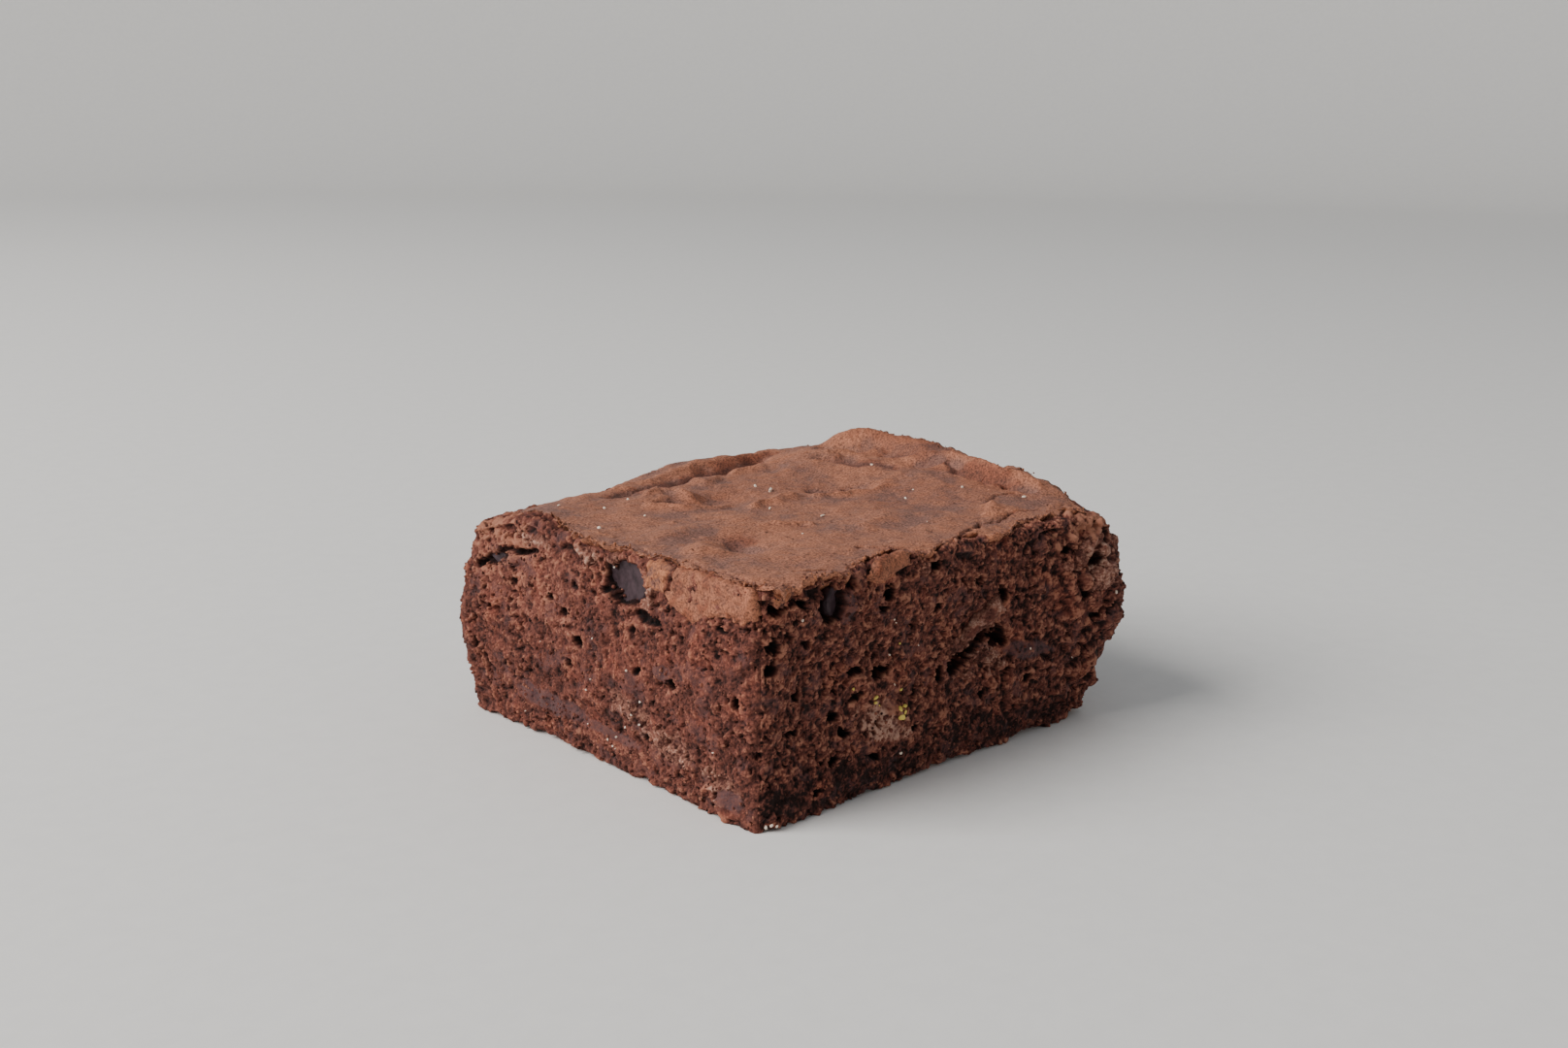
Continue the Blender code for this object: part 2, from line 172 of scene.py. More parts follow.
# Patches of a different crumb: kind, face, place along it, height, half length, half height, tilt in degrees
# Toasted and baked patches are lighter partly from their own colour and partly as painted light, most of all
# on the upper part of the left face and its far hump, which face the window light
PATCHES = (
    ("floury", "left", -7.0, 10.0, 3.6, 2.2, 20.0),
    ("floury", "left", -14.6, 7.4, 4.6, 1.8, 8.0),
    ("floury", "left", -24.6, 4.6, 3.4, 1.8, 10.0),
    ("floury", "left", 15.0, 29.6, 3.0, 0.8, 0.0),
    ("floury", "left", 3.6, 29.6, 2.6, 1.3, 0.0),
    ("floury", "left", -9.6, 26.4, 0.7, 2.6, 0.0),
    ("floury", "front", -13.0, 9.0, 4.4, 2.4, -25.0),
    ("toasted_and_lit", "front", -12.4, 9.6, 5.0, 3.0, -25.0),
    ("floury", "front", 31.2, 25.0, 3.4, 2.8, 0.0),
    ("floury", "front", 9.4, 13.6, 3.0, 1.6, -20.0),
    ("toasted_and_lit", "left", 28.4, 28.4, 6.4, 4.0, 0.0),
    ("baked", "left", 27.0, 30.4, 9.0, 2.6, 0.0),
    ("baked", "front", 30.0, 30.6, 7.0, 1.4, 0.0),
    ("toasted_and_lit", "left", 18.0, 24.0, 14.0, 6.0, 0.0),
    ("toasted_and_lit", "left", -3.0, 4.0, 9.0, 1.6, 0.0),
    ("toasted_and_lit", "front", 28.0, 29.4, 6.0, 1.6, 0.0),
    ("floury", "right", -8.0, 26.0, 5.0, 2.0, 10.0),
    ("floury", "back", 10.0, 9.0, 4.5, 2.2, -10.0),
    ("fudge", "left", 12.0, 6.3, 8.2, 1.6, 4.0),
    ("fudge", "left", -1.6, 5.2, 7.0, 0.9, 3.0),
    ("fudge", "left", -13.8, 17.2, 1.8, 1.2, 0.0),
    ("fudge", "left", -26.5, 3.2, 2.4, 1.2, 0.0),
    ("fudge", "front", -20.8, 27.4, 1.6, 2.4, 0.0),
    ("dense", "front", -20.0, 3.0, 17.0, 2.8, 0.0),
    ("dense", "front", 12.0, 3.4, 18.0, 2.4, 0.0),
    ("fudge", "front", 16.4, 13.8, 5.6, 1.3, -7.0),
    ("clumpy", "front", 29.0, 21.0, 9.0, 11.0, 0.0),
    ("clumpy", "front", 16.0, 12.0, 9.0, 5.0, 20.0),
    ("clumpy", "front", 30.0, 8.0, 8.0, 5.0, 0.0),
    ("clumpy", "right", -24.0, 20.0, 8.0, 9.0, 0.0),
    ("clumpy", "right", 10.0, 10.0, 10.0, 5.0, 10.0),
    ("clumpy", "back", -2.0, 18.0, 10.0, 6.0, -10.0),
    ("dense", "back", 4.0, 4.0, 20.0, 2.2, 0.0),
    ("dense", "right", 0.0, 4.4, 18.0, 2.2, 0.0),
)

# Where the crust stops, as distances in from the top edge of each face
CRUST_STOPS = {
    "left": (
        (33.0, 6.2), (26.0, 5.4), (22.4, 4.1), (16.3, 3.8), (10.1, 1.5), (4.2, 0.0), (-1.5, -0.2),
        (-4.3, 0.5), (-9.0, 0.5), (-17.7, 1.2), (-26.0, 0.9), (-31.0, 1.0),
    ),
    "front": (
        (-35.0, 0.6), (-33.4, -0.2), (-30.0, -0.3), (-20.0, -0.2), (-17.5, 1.6), (-15.0, 2.6), (-12.6, 2.4),
        (-8.6, 3.2), (-7.9, 0.2), (-4.8, 0.0), (-1.0, 0.8), (1.2, 1.9), (5.0, 2.6), (7.2, 2.0), (8.0, 0.0),
        (9.7, -0.2), (12.0, 1.2), (16.7, 2.2), (20.0, 2.3), (24.0, 2.9), (27.8, 3.2), (31.0, 3.0),
        (36.0, 3.0),
    ),
    "right": (
        (-34.0, 3.2), (-29.0, 2.2), (-25.0, 0.8), (-20.0, 0.2), (-5.0, 0.6), (10.0, 0.1), (22.0, 0.5),
        (32.0, 0.3),
    ),
    "back": ((34.0, 0.4), (20.0, 0.3), (0.0, 0.1), (-20.0, 0.3), (-26.0, 0.9), (-30.0, 3.2), (-36.0, 6.0)),
}


STOP_MARGIN = 2.0      # how far past a face's ends these are worked out
STOP_STEP = 0.1

# How far the broken plates of the crust's edge jut past each other
BROKEN = {"left": 0.5, "front": 1.3, "right": 0.6, "back": 0.1}

# How strongly the granules of each face stand out, in height and in the painted shade and light of their
# relief mask, and the middle tone of its crumb
LIVELINESS = {"left": 1.0, "front": 1.45, "right": 1.15, "back": 1.0}
TONE = {"left": 0.455, "front": 0.435, "right": 0.47, "back": 0.47}

# Soft noise in layers, from broad to fine: height, size and seed
GRANULE_CLUMPS = ((1.0, 2.3, 22), (0.6, 1.3, 23))        # sizes in granules
PORE_SHAPES = ((1.0, 1.7, 42), (0.5, 0.7, 43))           # sizes in granules
PATCH_BORDERS = ((0.45, 2.4, 71), (0.4, 0.9, 72))
FUDGE_SPREAD = ((1.0, 3.0, 73), (0.5, 1.1, 74))
HOLLOW_BORDERS = ((0.34, 1.7, 81), (0.24, 0.8, 82))
CRUMB_SWELLS = ((0.3, 3.6, 11), (0.24, 1.9, 12))
RAGGED_FOOT = ((0.9, 4.2, 18), (0.4, 1.5, 19))
UNDERSIDE_DENTS = ((0.18, 3.0, 15), (0.12, 1.3, 16))
CRUST_STOP_BORDER = ((0.42, 2.3, 61), (0.24, 0.9, 62))
ZONE_BORDERS = ((0.4, 3.2, 65), (0.3, 1.2, 66))
CRUST_SWELLS = ((0.3, 9.0, 53), (0.16, 3.6, 54), (0.07, 1.6, 55))
FLAKE_BORDERS = ((0.45, 1.6, 93), (0.25, 0.7, 94))
FLAKE_BUMPS = ((0.3, 3.2, 95), (0.2, 1.3, 96), (0.06, 0.5, 97))
LUMP_DENTS = ((0.12, 0.9, 101), (0.05, 0.35, 102))


# Noise


def lattice_random(cell, seed):
    """Repeatable random numbers from 0 to 1 for whole-number cells, one for each row."""
    whole = cell.astype(np.int64).astype(np.uint32)
    value = whole[..., 0] * np.uint32(0x9E3779B1)
    value ^= whole[..., 1] * np.uint32(0x85EBCA77)
    value ^= whole[..., 2] * np.uint32(0xC2B2AE3D)
    value += np.uint32((seed * 0x27D4EB2F) & 0xFFFFFFFF)
    for shift, factor in ((15, 0x2C1B3C6D), (12, 0x297A2D39)):
        value ^= value >> np.uint32(shift)
        value *= np.uint32(factor)
    value ^= value >> np.uint32(15)
    return value / 2.0**32


# The twelve directions in which the noise can slope at a corner of its grid
SLOPES = np.array([way for way in product((-1.0, 0.0, 1.0), repeat=3) if way.count(0.0) == 1])


def soft_noise(points, size, seed):
    """Smooth noise from about -1 to 1 whose bumps have one size."""
    place = points / size
    base = np.floor(place)
    within = place - base
    ease = within**3 * (within * (within * 6.0 - 15.0) + 10.0)
    height = np.zeros(len(points))
    for corner in product((0.0, 1.0), repeat=3):
        pick = (lattice_random(base + corner, seed) * len(SLOPES)).astype(int)
        slope = ((within - corner) * SLOPES[pick]).sum(-1)
        height += slope * np.where(np.array(corner) > 0.5, ease, 1.0 - ease).prod(-1)
    return height * 1.5


def layered(points, layers, scale=1.0):
    """Sum of layers of soft noise, whose sizes are enlarged by a scale."""
    return sum(height * soft_noise(points, size * scale, seed) for height, size, seed in layers)


def noise_vector(points, size, seeds):
    """Soft noise with one coordinate for each seed."""
    return np.stack([soft_noise(points, size, seed) for seed in seeds], -1)


def bumps_only(points, layers):
    """Sum of layers of soft noise with only what rises in each."""
    return sum(height * np.maximum(soft_noise(points, size, seed), 0.0) for height, size, seed in layers)


def cells(points, size, seed):
    """Distance to the nearest of some scattered centres, in cell sizes, and that centre's random number."""
    place = points / size
    base = np.floor(place)
    nearest = np.full(len(points), np.inf)
    mark = np.zeros(len(points))
    for step in product((-1.0, 0.0, 1.0), repeat=3):
        cell = base + step
        spot = cell + np.stack([lattice_random(cell, seed + k) for k in range(3)], -1)
        gap = np.linalg.norm(place - spot, axis=-1)
        closer = gap < nearest
        nearest[closer] = gap[closer]
        mark[closer] = lattice_random(cell, seed + 3)[closer]
    return nearest, mark


def ramp(low, high, value):
    """Rise smoothly from 0 at low to 1 at high."""
    t = np.clip((value - low) / (high - low), 0.0, 1.0)
    return t * t * (3.0 - 2.0 * t)


def at_level(xy, z):
    """Points in space for points in plan, all at one level."""
    return np.concatenate([xy, np.full((len(xy), 1), z)], -1)


def turned(across, upward, tilt):
    """Two coordinates as read in axes that are turned by a tilt in degrees."""
    cosine, sine = math.cos(math.radians(tilt)), math.sin(math.radians(tilt))
    return across * cosine + upward * sine, upward * cosine - across * sine


def spaced(spacing):
    return spacing * 1.0


def granule_size():
    """Size of the crumb's granules."""
    return bpy.context.scene.brownie_crumb.grain / MM


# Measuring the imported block


@lru_cache(maxsize=None)
def block_box():
    """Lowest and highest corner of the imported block, in millimetres."""
    low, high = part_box("brownie")
    return np.array(low) / MM, np.array(high) / MM


@lru_cache(maxsize=None)
def plan():
    """Middle and half sizes of the rectangle inside the cut faces."""
    low, high = block_box()
    start = np.array((low[0] + SWELL["left"], low[1] + SWELL["front"]))
    end = np.array((high[0] - SWELL["right"], high[1] - SWELL["back"]))
    return (start + end) / 2, (end - start) / 2


def face_halves(face):
    """Half the length of a face and its distance from the middle of the plan."""
    half = plan()[1]
    return (half[1], half[0]) if face in END_FACES else (half[0], half[1])


def face_length(face):
    """Length of a face from the middle of one upright edge to the middle of the next."""
    return 2.0 * (face_halves(face)[0] - CORNER) + CORNER * math.pi / 2


def outline(face, along):
    """Points of the rounded plan and the directions out of it, for distances along a face."""
    half, reach = face_halves(face)
    bend = CORNER * math.pi / 4
    straight = 2.0 * (half - CORNER)
    turn = np.minimum((along - bend) / CORNER, 0.0) + np.maximum((along - bend - straight) / CORNER, 0.0)
    run = CORNER - half + np.clip(along - bend, 0.0, straight) + CORNER * np.sin(turn)
    out = reach - CORNER + CORNER * np.cos(turn)
    run_way, out_way = np.array(RUN[face]), np.array(OUT[face])
    spots = plan()[0] + run[..., None] * run_way + out[..., None] * out_way
    return spots, np.sin(turn)[..., None] * run_way + np.cos(turn)[..., None] * out_way


def inward(spots):
    """Directions from points of the rounded plan to the slab's inner side, a millimetre of thickness long."""
    middle, half = plan()
    inner = np.clip(spots, middle - half + SLAB, middle + half - SLAB)
    return (inner - spots) / SLAB


def along_face(face, place):
    """Distance along a face for a place given as x on the front and back, or y on the left and right."""
    half = face_halves(face)[0]
    axis = 1 if face in END_FACES else 0
    sign = RUN[face][axis]
    return (np.asarray(place) - plan()[0][axis]) * sign + half - CORNER + CORNER * math.pi / 4


def steps_round():
    """Points of the rounded plan and the directions out of it, in even steps along each face in turn."""
    for face in FACES:
        yield from zip(*outline(face, np.linspace(0.0, face_length(face), SIDE_STEPS, endpoint=False)))


def row_round(face, along):
    """Fractional number of the step round the plan for distances along a face."""
    return (FACES.index(face) + along / face_length(face)) * SIDE_STEPS


@lru_cache(maxsize=None)
def block_tree():
    """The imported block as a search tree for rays, in metres."""
    bm = bmesh.new()
    bm.from_mesh(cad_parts["brownie"].data)
    bmesh.ops.remove_doubles(bm, verts=bm.verts, dist=1e-7)
    tree = BVHTree.FromBMesh(bm)
    bm.free()
    return tree


def cast(start, direction):
    """Distance in millimetres from a start to the block along a direction, or nan."""
    distance = block_tree().ray_cast(Vector(start) * MM, Vector(direction))[3]
    return math.nan if distance is None else distance / MM


def slide(table, reach, pick):
    """Largest or smallest value within reach of each entry of a table whose rows run round the block."""
    for axis, mode in ((0, "wrap"), (1, "edge")):
        pad = [(reach, reach) if axis == k else (0, 0) for k in (0, 1)]
        wide = np.pad(table, pad, mode=mode)
        count = table.shape[axis]
        table = pick([np.take(wide, range(k, k + count), axis=axis) for k in range(2 * reach + 1)], axis=0)
    return table


def neighbour_sum(table, wrap):
    """Sum of the four neighbours of each entry of a table."""
    tall = np.pad(table, ((1, 1), (0, 0)), mode="wrap" if wrap else "edge")
    wide = np.pad(tall, ((0, 0), (1, 1)), mode="edge")
    return wide[:-2, 1:-1] + wide[2:, 1:-1] + wide[1:-1, :-2] + wide[1:-1, 2:]


def bridge_hollows(table):
    """Fill the hollows and gaps of a table whose rows run round the block from what surrounds them."""
    known = np.where(np.isnan(table), np.nanmin(table) - MISS_DEPTH, table)
    closed = slide(slide(known, HOLLOW_WINDOW, np.max), HOLLOW_WINDOW, np.min)
    hollow = slide((closed - known > HOLLOW_DEPTH) * 1.0, 1, np.max) > 0.5
    healed = np.where(hollow, closed, known)
    for _ in range(HEALING_ROUNDS):
        healed = np.where(hollow, neighbour_sum(healed, True) / 4, healed)
    return healed


def soften(table, wrap, rounds):
    """Even out a table by repeated averaging with its neighbours."""
    for _ in range(rounds):
        table = (neighbour_sum(table, wrap) + 4.0 * table) / 8
    return table


@lru_cache(maxsize=None)
def side_table():
    """How far the cut faces lie outside the plan: a row for each step round it, a column for each level."""
    heights = np.maximum(np.arange(HEIGHT_SAMPLES) * HEIGHT_STEP, LOWEST_RAY)
    rows = []
    for spot, way in steps_round():
        start = spot + way * RAY_START
        rows.append([RAY_START - cast((*start, z), (*-way, 0.0)) for z in heights])
    return soften(bridge_hollows(np.array(rows)), True, 3)


@lru_cache(maxsize=None)
def plan_table():
    """Height of the block's top, and the corner and steps of the places where it was measured."""
    middle, half = plan()
    start = middle - half + PLAN_MARGIN
    size = 2 * half - 2 * PLAN_MARGIN
    counts = np.ceil(size / PLAN_STEP).astype(int) + 1
    steps = size / (counts - 1)
    ys = [start[1] + j * steps[1] for j in range(counts[1])]
    rows = []
    for i in range(counts[0]):
        x = start[0] + i * steps[0]
        rows.append([RAY_HEIGHT - cast((x, y, RAY_HEIGHT), (0.0, 0.0, -1.0)) for y in ys])
    return soften(np.array(rows), False, 2), start, steps


@lru_cache(maxsize=None)
def foot_table():
    """Rise of the block's lower edge: a row for each step round the plan, in two equal columns."""
    starts = [(*(spot - way * FOOT_MARGIN), -RAY_START) for spot, way in steps_round()]
    rises = np.array([[cast(start, (0.0, 0.0, 1.0)) - RAY_START] for start in starts])
    return np.repeat(soften(rises, True, 3), 2, axis=1)


def blend_table(table, row, column, wrap):
    """Values of a table at fractional rows and columns."""
    rows, columns = table.shape
    row = row % rows if wrap else np.clip(row, 0.0, rows - 1.0)
    column = np.clip(column, 0.0, columns - 1.0)
    i, j = np.floor(row).astype(int), np.minimum(np.floor(column).astype(int), columns - 2)
    i_next = (i + 1) % rows if wrap else np.minimum(i + 1, rows - 1)
    s, t = row - i, column - j
    low = table[i, j] * (1 - s) + table[i_next, j] * s
    high = table[i, j + 1] * (1 - s) + table[i_next, j + 1] * s
    return low * (1 - t) + high * t


def side_offset(face, along, height):
    """How far a face lies outside the rounded plan."""
    return blend_table(side_table(), row_round(face, along), height / HEIGHT_STEP, True)


def foot_rise(face, along):
    """Rise of a face's lower edge off the ground."""
    row = row_round(face, along)
    return blend_table(foot_table(), row, np.zeros_like(row), True)


def top_height(xy):
    """Height of the block's top, which beyond its edge stays as it is there, with its worn corners."""
    table, start, steps = plan_table()
    place = (xy - start) / steps
    height = blend_table(table, place[..., 0], place[..., 1], False)
    for x, y, reach, depth in WORN_CORNERS:
        height = height - depth * np.exp(-((xy[..., 0] - x) ** 2 + (xy[..., 1] - y) ** 2) / reach**2)
    return height


# Surfaces of the block


def wall_top(face, along):
    """Height at which a face starts to round over onto the top."""
    spots, way = outline(face, along)
    offset = side_offset(face, along, top_height(spots) - 2.0 * EDGE)
    return top_height(spots + way * offset[..., None] + inward(spots) * EDGE) - EDGE


def face_surface(face, along, stage):
    """Points of a smooth face: foot strip for stages -1 to 0, wall to 1, rounded edge to 2, shelf to 3."""
    spots, way = outline(face, along)
    foot, top = foot_rise(face, along), wall_top(face, along)
    under = np.clip(-stage, 0.0, 1.0)
    turn = np.clip(stage - 1.0, 0.0, 1.0) * math.pi / 2
    z = foot * (1.0 - under) ** 2 + (top - foot) * np.clip(stage, 0.0, 1.0)
    inset = FOOT * under + EDGE * (1.0 - np.cos(turn)) + (SHELF - EDGE) * np.clip(stage - 2.0, 0.0, 1.0)
    offset = side_offset(face, along, np.minimum(z, top - EDGE))
    xy = spots + way * offset[..., None] + inward(spots) * inset[..., None]
    rounded = z + EDGE * np.sin(turn)
    z = np.where(stage > 2.0, top_height(xy), rounded)
    return np.concatenate([xy, z[..., None]], -1)


def face_normals(face, along, stage):
    """Outward directions of a smooth face."""
    run = face_surface(face, along + NORMAL_STEP, stage) - face_surface(face, along - NORMAL_STEP, stage)
    above = face_surface(face, along, np.minimum(stage + NORMAL_LIFT, 3.0))
    rise = above - face_surface(face, along, np.maximum(stage - NORMAL_LIFT, -1.0))
    normal = np.cross(run, rise)
    return normal / np.linalg.norm(normal, axis=-1, keepdims=True)


def stage_of_drop(face, along, drop):
    """Stage of a face for a distance down it from the middle of the rounded edge, negative on the top."""
    arc = EDGE * math.pi / 2
    wall = wall_top(face, along) - foot_rise(face, along)
    on_wall = 1.0 - (drop - arc / 2) / wall
    on_edge = 1.5 - drop / arc
    on_top = 2.0 + (-drop - arc / 2) / (SHELF - EDGE)
    return np.where(drop > arc / 2, on_wall, np.where(drop < -arc / 2, on_top, on_edge))


def ellipse_reach(points, face, along, height, half_length, half_height, tilt):
    """How far points lie from a spot on a face, as a share of a tilted ellipse there."""
    run_way = np.array((*RUN[face], 0.0))
    out_way = np.array((*OUT[face], 0.0))
    spots, _ = outline(face, along_face(face, along))
    offset = side_offset(face, along_face(face, along), np.array(height))
    gap = points - np.array((*spots, height)) - out_way * offset
    depth = gap @ out_way
    across, upward = turned(gap @ run_way, gap[:, 2], tilt * (1.0 if face in ("front", "right") else -1.0))
    return np.sqrt((across / half_length) ** 2 + (upward / half_height) ** 2 + (depth / ELLIPSE_DEPTH) ** 2)


@lru_cache(maxsize=None)
def ragged_stop(face):
    """Places along a face, and the ragged distance in from its top edge at which the crust stops there."""
    along = np.arange(-STOP_MARGIN, face_length(face) + STOP_MARGIN, STOP_STEP)
    keys = sorted((float(along_face(face, place)), inset) for place, inset in CRUST_STOPS[face])
    inset = np.interp(along, [place for place, _ in keys], [inset for _, inset in keys])
    points = at_level(outline(face, along)[0], 3.0)
    ragged = layered(points, CRUST_STOP_BORDER)
    ragged += BROKEN[face] * (cells(points, 2.4, 64)[1] - 0.5)
    bites = np.maximum(soft_noise(points, 4.5, 63) - 0.25, 0.0) * 1.6
    corner = np.minimum(along, face_length(face) - along)
    return along, inset + ragged + bites * ramp(0.0, 4.0, corner)


def crust_stop(face, along):
    """Distance in from a face's top edge at which the crust stops."""
    return np.interp(along, *ragged_stop(face))


# Meshes


def flat_grid(columns, rows):
    """A flat grid one unit across."""
    bm = bmesh.new()
    bmesh.ops.create_grid(bm, x_segments=columns, y_segments=rows, size=0.5)
    return bm


def sink(bm, extruded):
    """Move the vertices of an extrusion down by one unit."""
    verts = [item for item in extruded["geom"] if isinstance(item, bmesh.types.BMVert)]
    bmesh.ops.translate(bm, vec=(0.0, 0.0, -1.0), verts=verts)


def blank_sheet(columns, rows, rings):
    """A flat grid whose border is extruded into rings and closed, with each vertex's column, row and ring."""
    bm = flat_grid(columns, rows)
    for _ in range(rings):
        sink(bm, bmesh.ops.extrude_edge_only(bm, edges=[edge for edge in bm.edges if edge.is_boundary]))
    bmesh.ops.holes_fill(bm, edges=[edge for edge in bm.edges if edge.is_boundary], sides=0)
    return sheet_places(bm, columns, rows)


def thin_sheet(columns, rows):
    """A flat grid made a slab of one cell, with each vertex's column, row and side, 0 for the upper one."""
    bm = flat_grid(columns, rows)
    sink(bm, bmesh.ops.extrude_face_region(bm, geom=bm.faces[:], use_keep_orig=True))
    return sheet_places(bm, columns, rows)


def sheet_places(bm, columns, rows):
    """Finish a flat grid as a mesh, and read back each vertex's column, row and depth."""
    bmesh.ops.recalc_face_normals(bm, faces=bm.faces)
    mesh = bpy.data.meshes.new("sheet")
    bm.to_mesh(mesh)
    bm.free()
    flat = np.empty(len(mesh.vertices) * 3)
    mesh.vertices.foreach_get("co", flat)
    flat = flat.reshape(-1, 3)
    column = np.rint((flat[:, 0] + 0.5) * columns).astype(int)
    row = np.rint((flat[:, 1] + 0.5) * rows).astype(int)
    return mesh, column, row, np.rint(-flat[:, 2]).astype(int)


def place_vertices(mesh, points):
    """Put a mesh's vertices at points given in millimetres."""
    mesh.vertices.foreach_set("co", (points * MM).astype(np.float32).ravel())
    mesh.update()


def store(mesh, name, values):
    """Keep one number for each vertex under a name that materials can read."""
    layer = mesh.attributes.new(name, "FLOAT", "POINT")
    layer.data.foreach_set("value", values.astype(np.float32))


def store_masks(mesh, masks, pick):
    """Keep the picked entries of each named grid of numbers."""
    for name, values in masks.items():
        store(mesh, name, values[pick])


def read_whole(items, name):
    """One whole number of each item of a mesh."""
    values = np.empty(len(items), int)
    items.foreach_get(name, values)
    return values


# Layout of a closed sheet's picture map, as shares of its height and width
MAP_LID = 0.015        # height of the lid
MAP_STRIPS = 0.02      # where the rings' strips start
MAP_STRIP = 0.01       # height of a ring's strip
MAP_STRIP_STEP = 0.012
MAP_GRID = 0.08        # where the grid starts
MAP_STRIP_WIDTH = 0.99


def map_sheet(mesh, columns, rows, column, row, ring):
    """Give a closed sheet a picture map: mostly its grid, with its rings and lid along the lower rim."""
    corner = read_whole(mesh.loops, "vertex_index")
    start = read_whole(mesh.polygons, "loop_start")
    sides = read_whole(mesh.polygons, "loop_total")
    owner = np.repeat(np.arange(len(start)), sides)
    p, q = column / columns, row / rows
    turn = np.where(row == 0, p, np.where(column == columns, 1 + q, np.where(row == rows, 3 - p, 4 - q))) / 4
    around = (turn % 1.0)[corner]
    widest = np.maximum.reduceat(around, start)[owner]
    around = np.where((widest > 0.75) & (around < 0.25), around + 1.0, around) * MAP_STRIP_WIDTH
    deepest = np.maximum.reduceat(ring[corner], start)[owner]
    strip = MAP_STRIPS + MAP_STRIP * (deepest - ring[corner]) + MAP_STRIP_STEP * (deepest - 1)
    lid = (sides > 4)[owner]
    u = np.where(lid, p[corner], np.where(deepest > 0, around, p[corner]))
    grid = MAP_GRID + (1.0 - MAP_GRID) * q[corner]
    v = np.where(lid, MAP_LID * q[corner], np.where(deepest > 0, strip, grid))
    layer = mesh.uv_layers.new(name="OFBake", do_init=False)
    layer.uv.foreach_set("vector", np.stack([u, v], -1).astype(np.float32).ravel())


def finish_piece(mesh, name, material, smooth=True):
    """Turn a mesh into a named piece that rides on the block and stands for it."""
    mesh.name = name
    if smooth:
        mesh.shade_smooth()
    mesh.materials.append(material)
    piece = bpy.data.objects.new(name, mesh)
    bpy.context.scene.collection.objects.link(piece)
    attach(piece, "root")
    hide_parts("brownie")


def box_mean(grid, reach):
    """Mean of each grid entry's neighbourhood."""
    width = 2 * reach + 1
    for axis in (0, 1):
        pad = [(reach + 1, reach) if axis == k else (0, 0) for k in (0, 1)]
        sums = np.cumsum(np.pad(grid, pad, mode="edge"), axis=axis)
        count = grid.shape[axis]
        high = np.take(sums, range(width, width + count), axis=axis)
        grid = (high - np.take(sums, range(count), axis=axis)) / width
    return grid


# Crumb


def crumb_rows():
    """Stages of the rows of points up a face, closer together where the face shows."""
    spacing = spaced(FINE)
    foot = np.linspace(-1.0, 0.0, FOOT_ROWS + 1)[:-1]
    wall = np.linspace(0.0, 1.0, round(WALL_ROWS_HEIGHT / spacing) + 1)[:-1]
    edge = np.linspace(1.0, 2.0, round(EDGE_ROWS_LENGTH / spacing) + 1)[:-1]
    shelf = np.linspace(0.0, 1.0, round(SHELF_ROWS_LENGTH / spacing) + 1)
    return np.concatenate([foot, wall, edge, 2.0 + shelf * (0.7 + 0.3 * shelf)])


# Granules of torn crumb, in shares of the granule size: how far their pattern is bent and over what length,
# the sizes of the two kinds, and what the clumps, the steps between granules and their domes add in height
GRANULE_BEND = 0.38
GRANULE_BEND_SIZE = 0.9
GRANULES_BROAD = 0.95
GRANULES_FINE = 0.5
CLUMP_HEIGHT = 0.34
BROAD_STEP = 0.26
BROAD_DOME = 0.38
FINE_STEP = 0.16
FINE_DOME = 0.14


def granules(points, grain):
    """Height and tone of torn crumb: granules in two sizes that stand unevenly on soft clumps."""
    bent = points + GRANULE_BEND * grain * noise_vector(points, GRANULE_BEND_SIZE * grain, (1, 2, 3))
    clumps = layered(bent, GRANULE_CLUMPS, grain)
    gap, mark = cells(bent, GRANULES_BROAD * grain, 31)
    fine_gap, fine_mark = cells(bent, GRANULES_FINE * grain, 36)
    height = CLUMP_HEIGHT * clumps + BROAD_STEP * (mark - 0.5) + BROAD_DOME * (0.5 - gap)
    height += FINE_STEP * (fine_mark - 0.5) + FINE_DOME * (0.5 - fine_gap)
    return grain * height, 0.55 * mark + 0.45 * fine_mark


def torn_pores(points, grain):
    """Depth of the irregular pores torn open between the granules, thick in some parts and rare in others."""
    crowd = soft_noise(points, 7.0 * grain, 41)
    shape = layered(points, PORE_SHAPES, grain)
    small = ramp(0.5, 0.95, shape + 0.35 * crowd)
    gap, mark = cells(points + 0.9 * grain * shape[:, None], 4.6 * grain, 44)
    size = 0.05 + 0.17 * mark**3
    large = np.clip(1.0 - (gap / size) ** 2, 0.0, 1.0) ** 0.7 * (mark > 0.4)
    return grain * (1.1 * small + (0.8 + 1.4 * mark) * large)


# Kinds of patch with a soft border, and with a crisp one
SOFT_PATCHES = ("floury", "toasted_and_lit", "baked", "clumpy")
CRISP_PATCHES = ("fudge", "dense")


def patch_masks(points):
    """How far each kind of patch shows at each point, from 0 to 1."""
    masks = {kind: np.zeros(len(points)) for kind in (*SOFT_PATCHES, *CRISP_PATCHES)}
    masks["fudge"] = 0.5 * ramp(0.25, 0.8, layered(points, FUDGE_SPREAD))
    rough = layered(points, PATCH_BORDERS)
    for kind, *place in PATCHES:
        reach = ellipse_reach(points, *place)
        soft, crisp = ramp(1.35, 0.6, reach + rough), ramp(1.15, 0.8, reach + 0.45 * rough)
        masks[kind] = np.maximum(masks[kind], soft if kind in SOFT_PATCHES else crisp)
    return masks


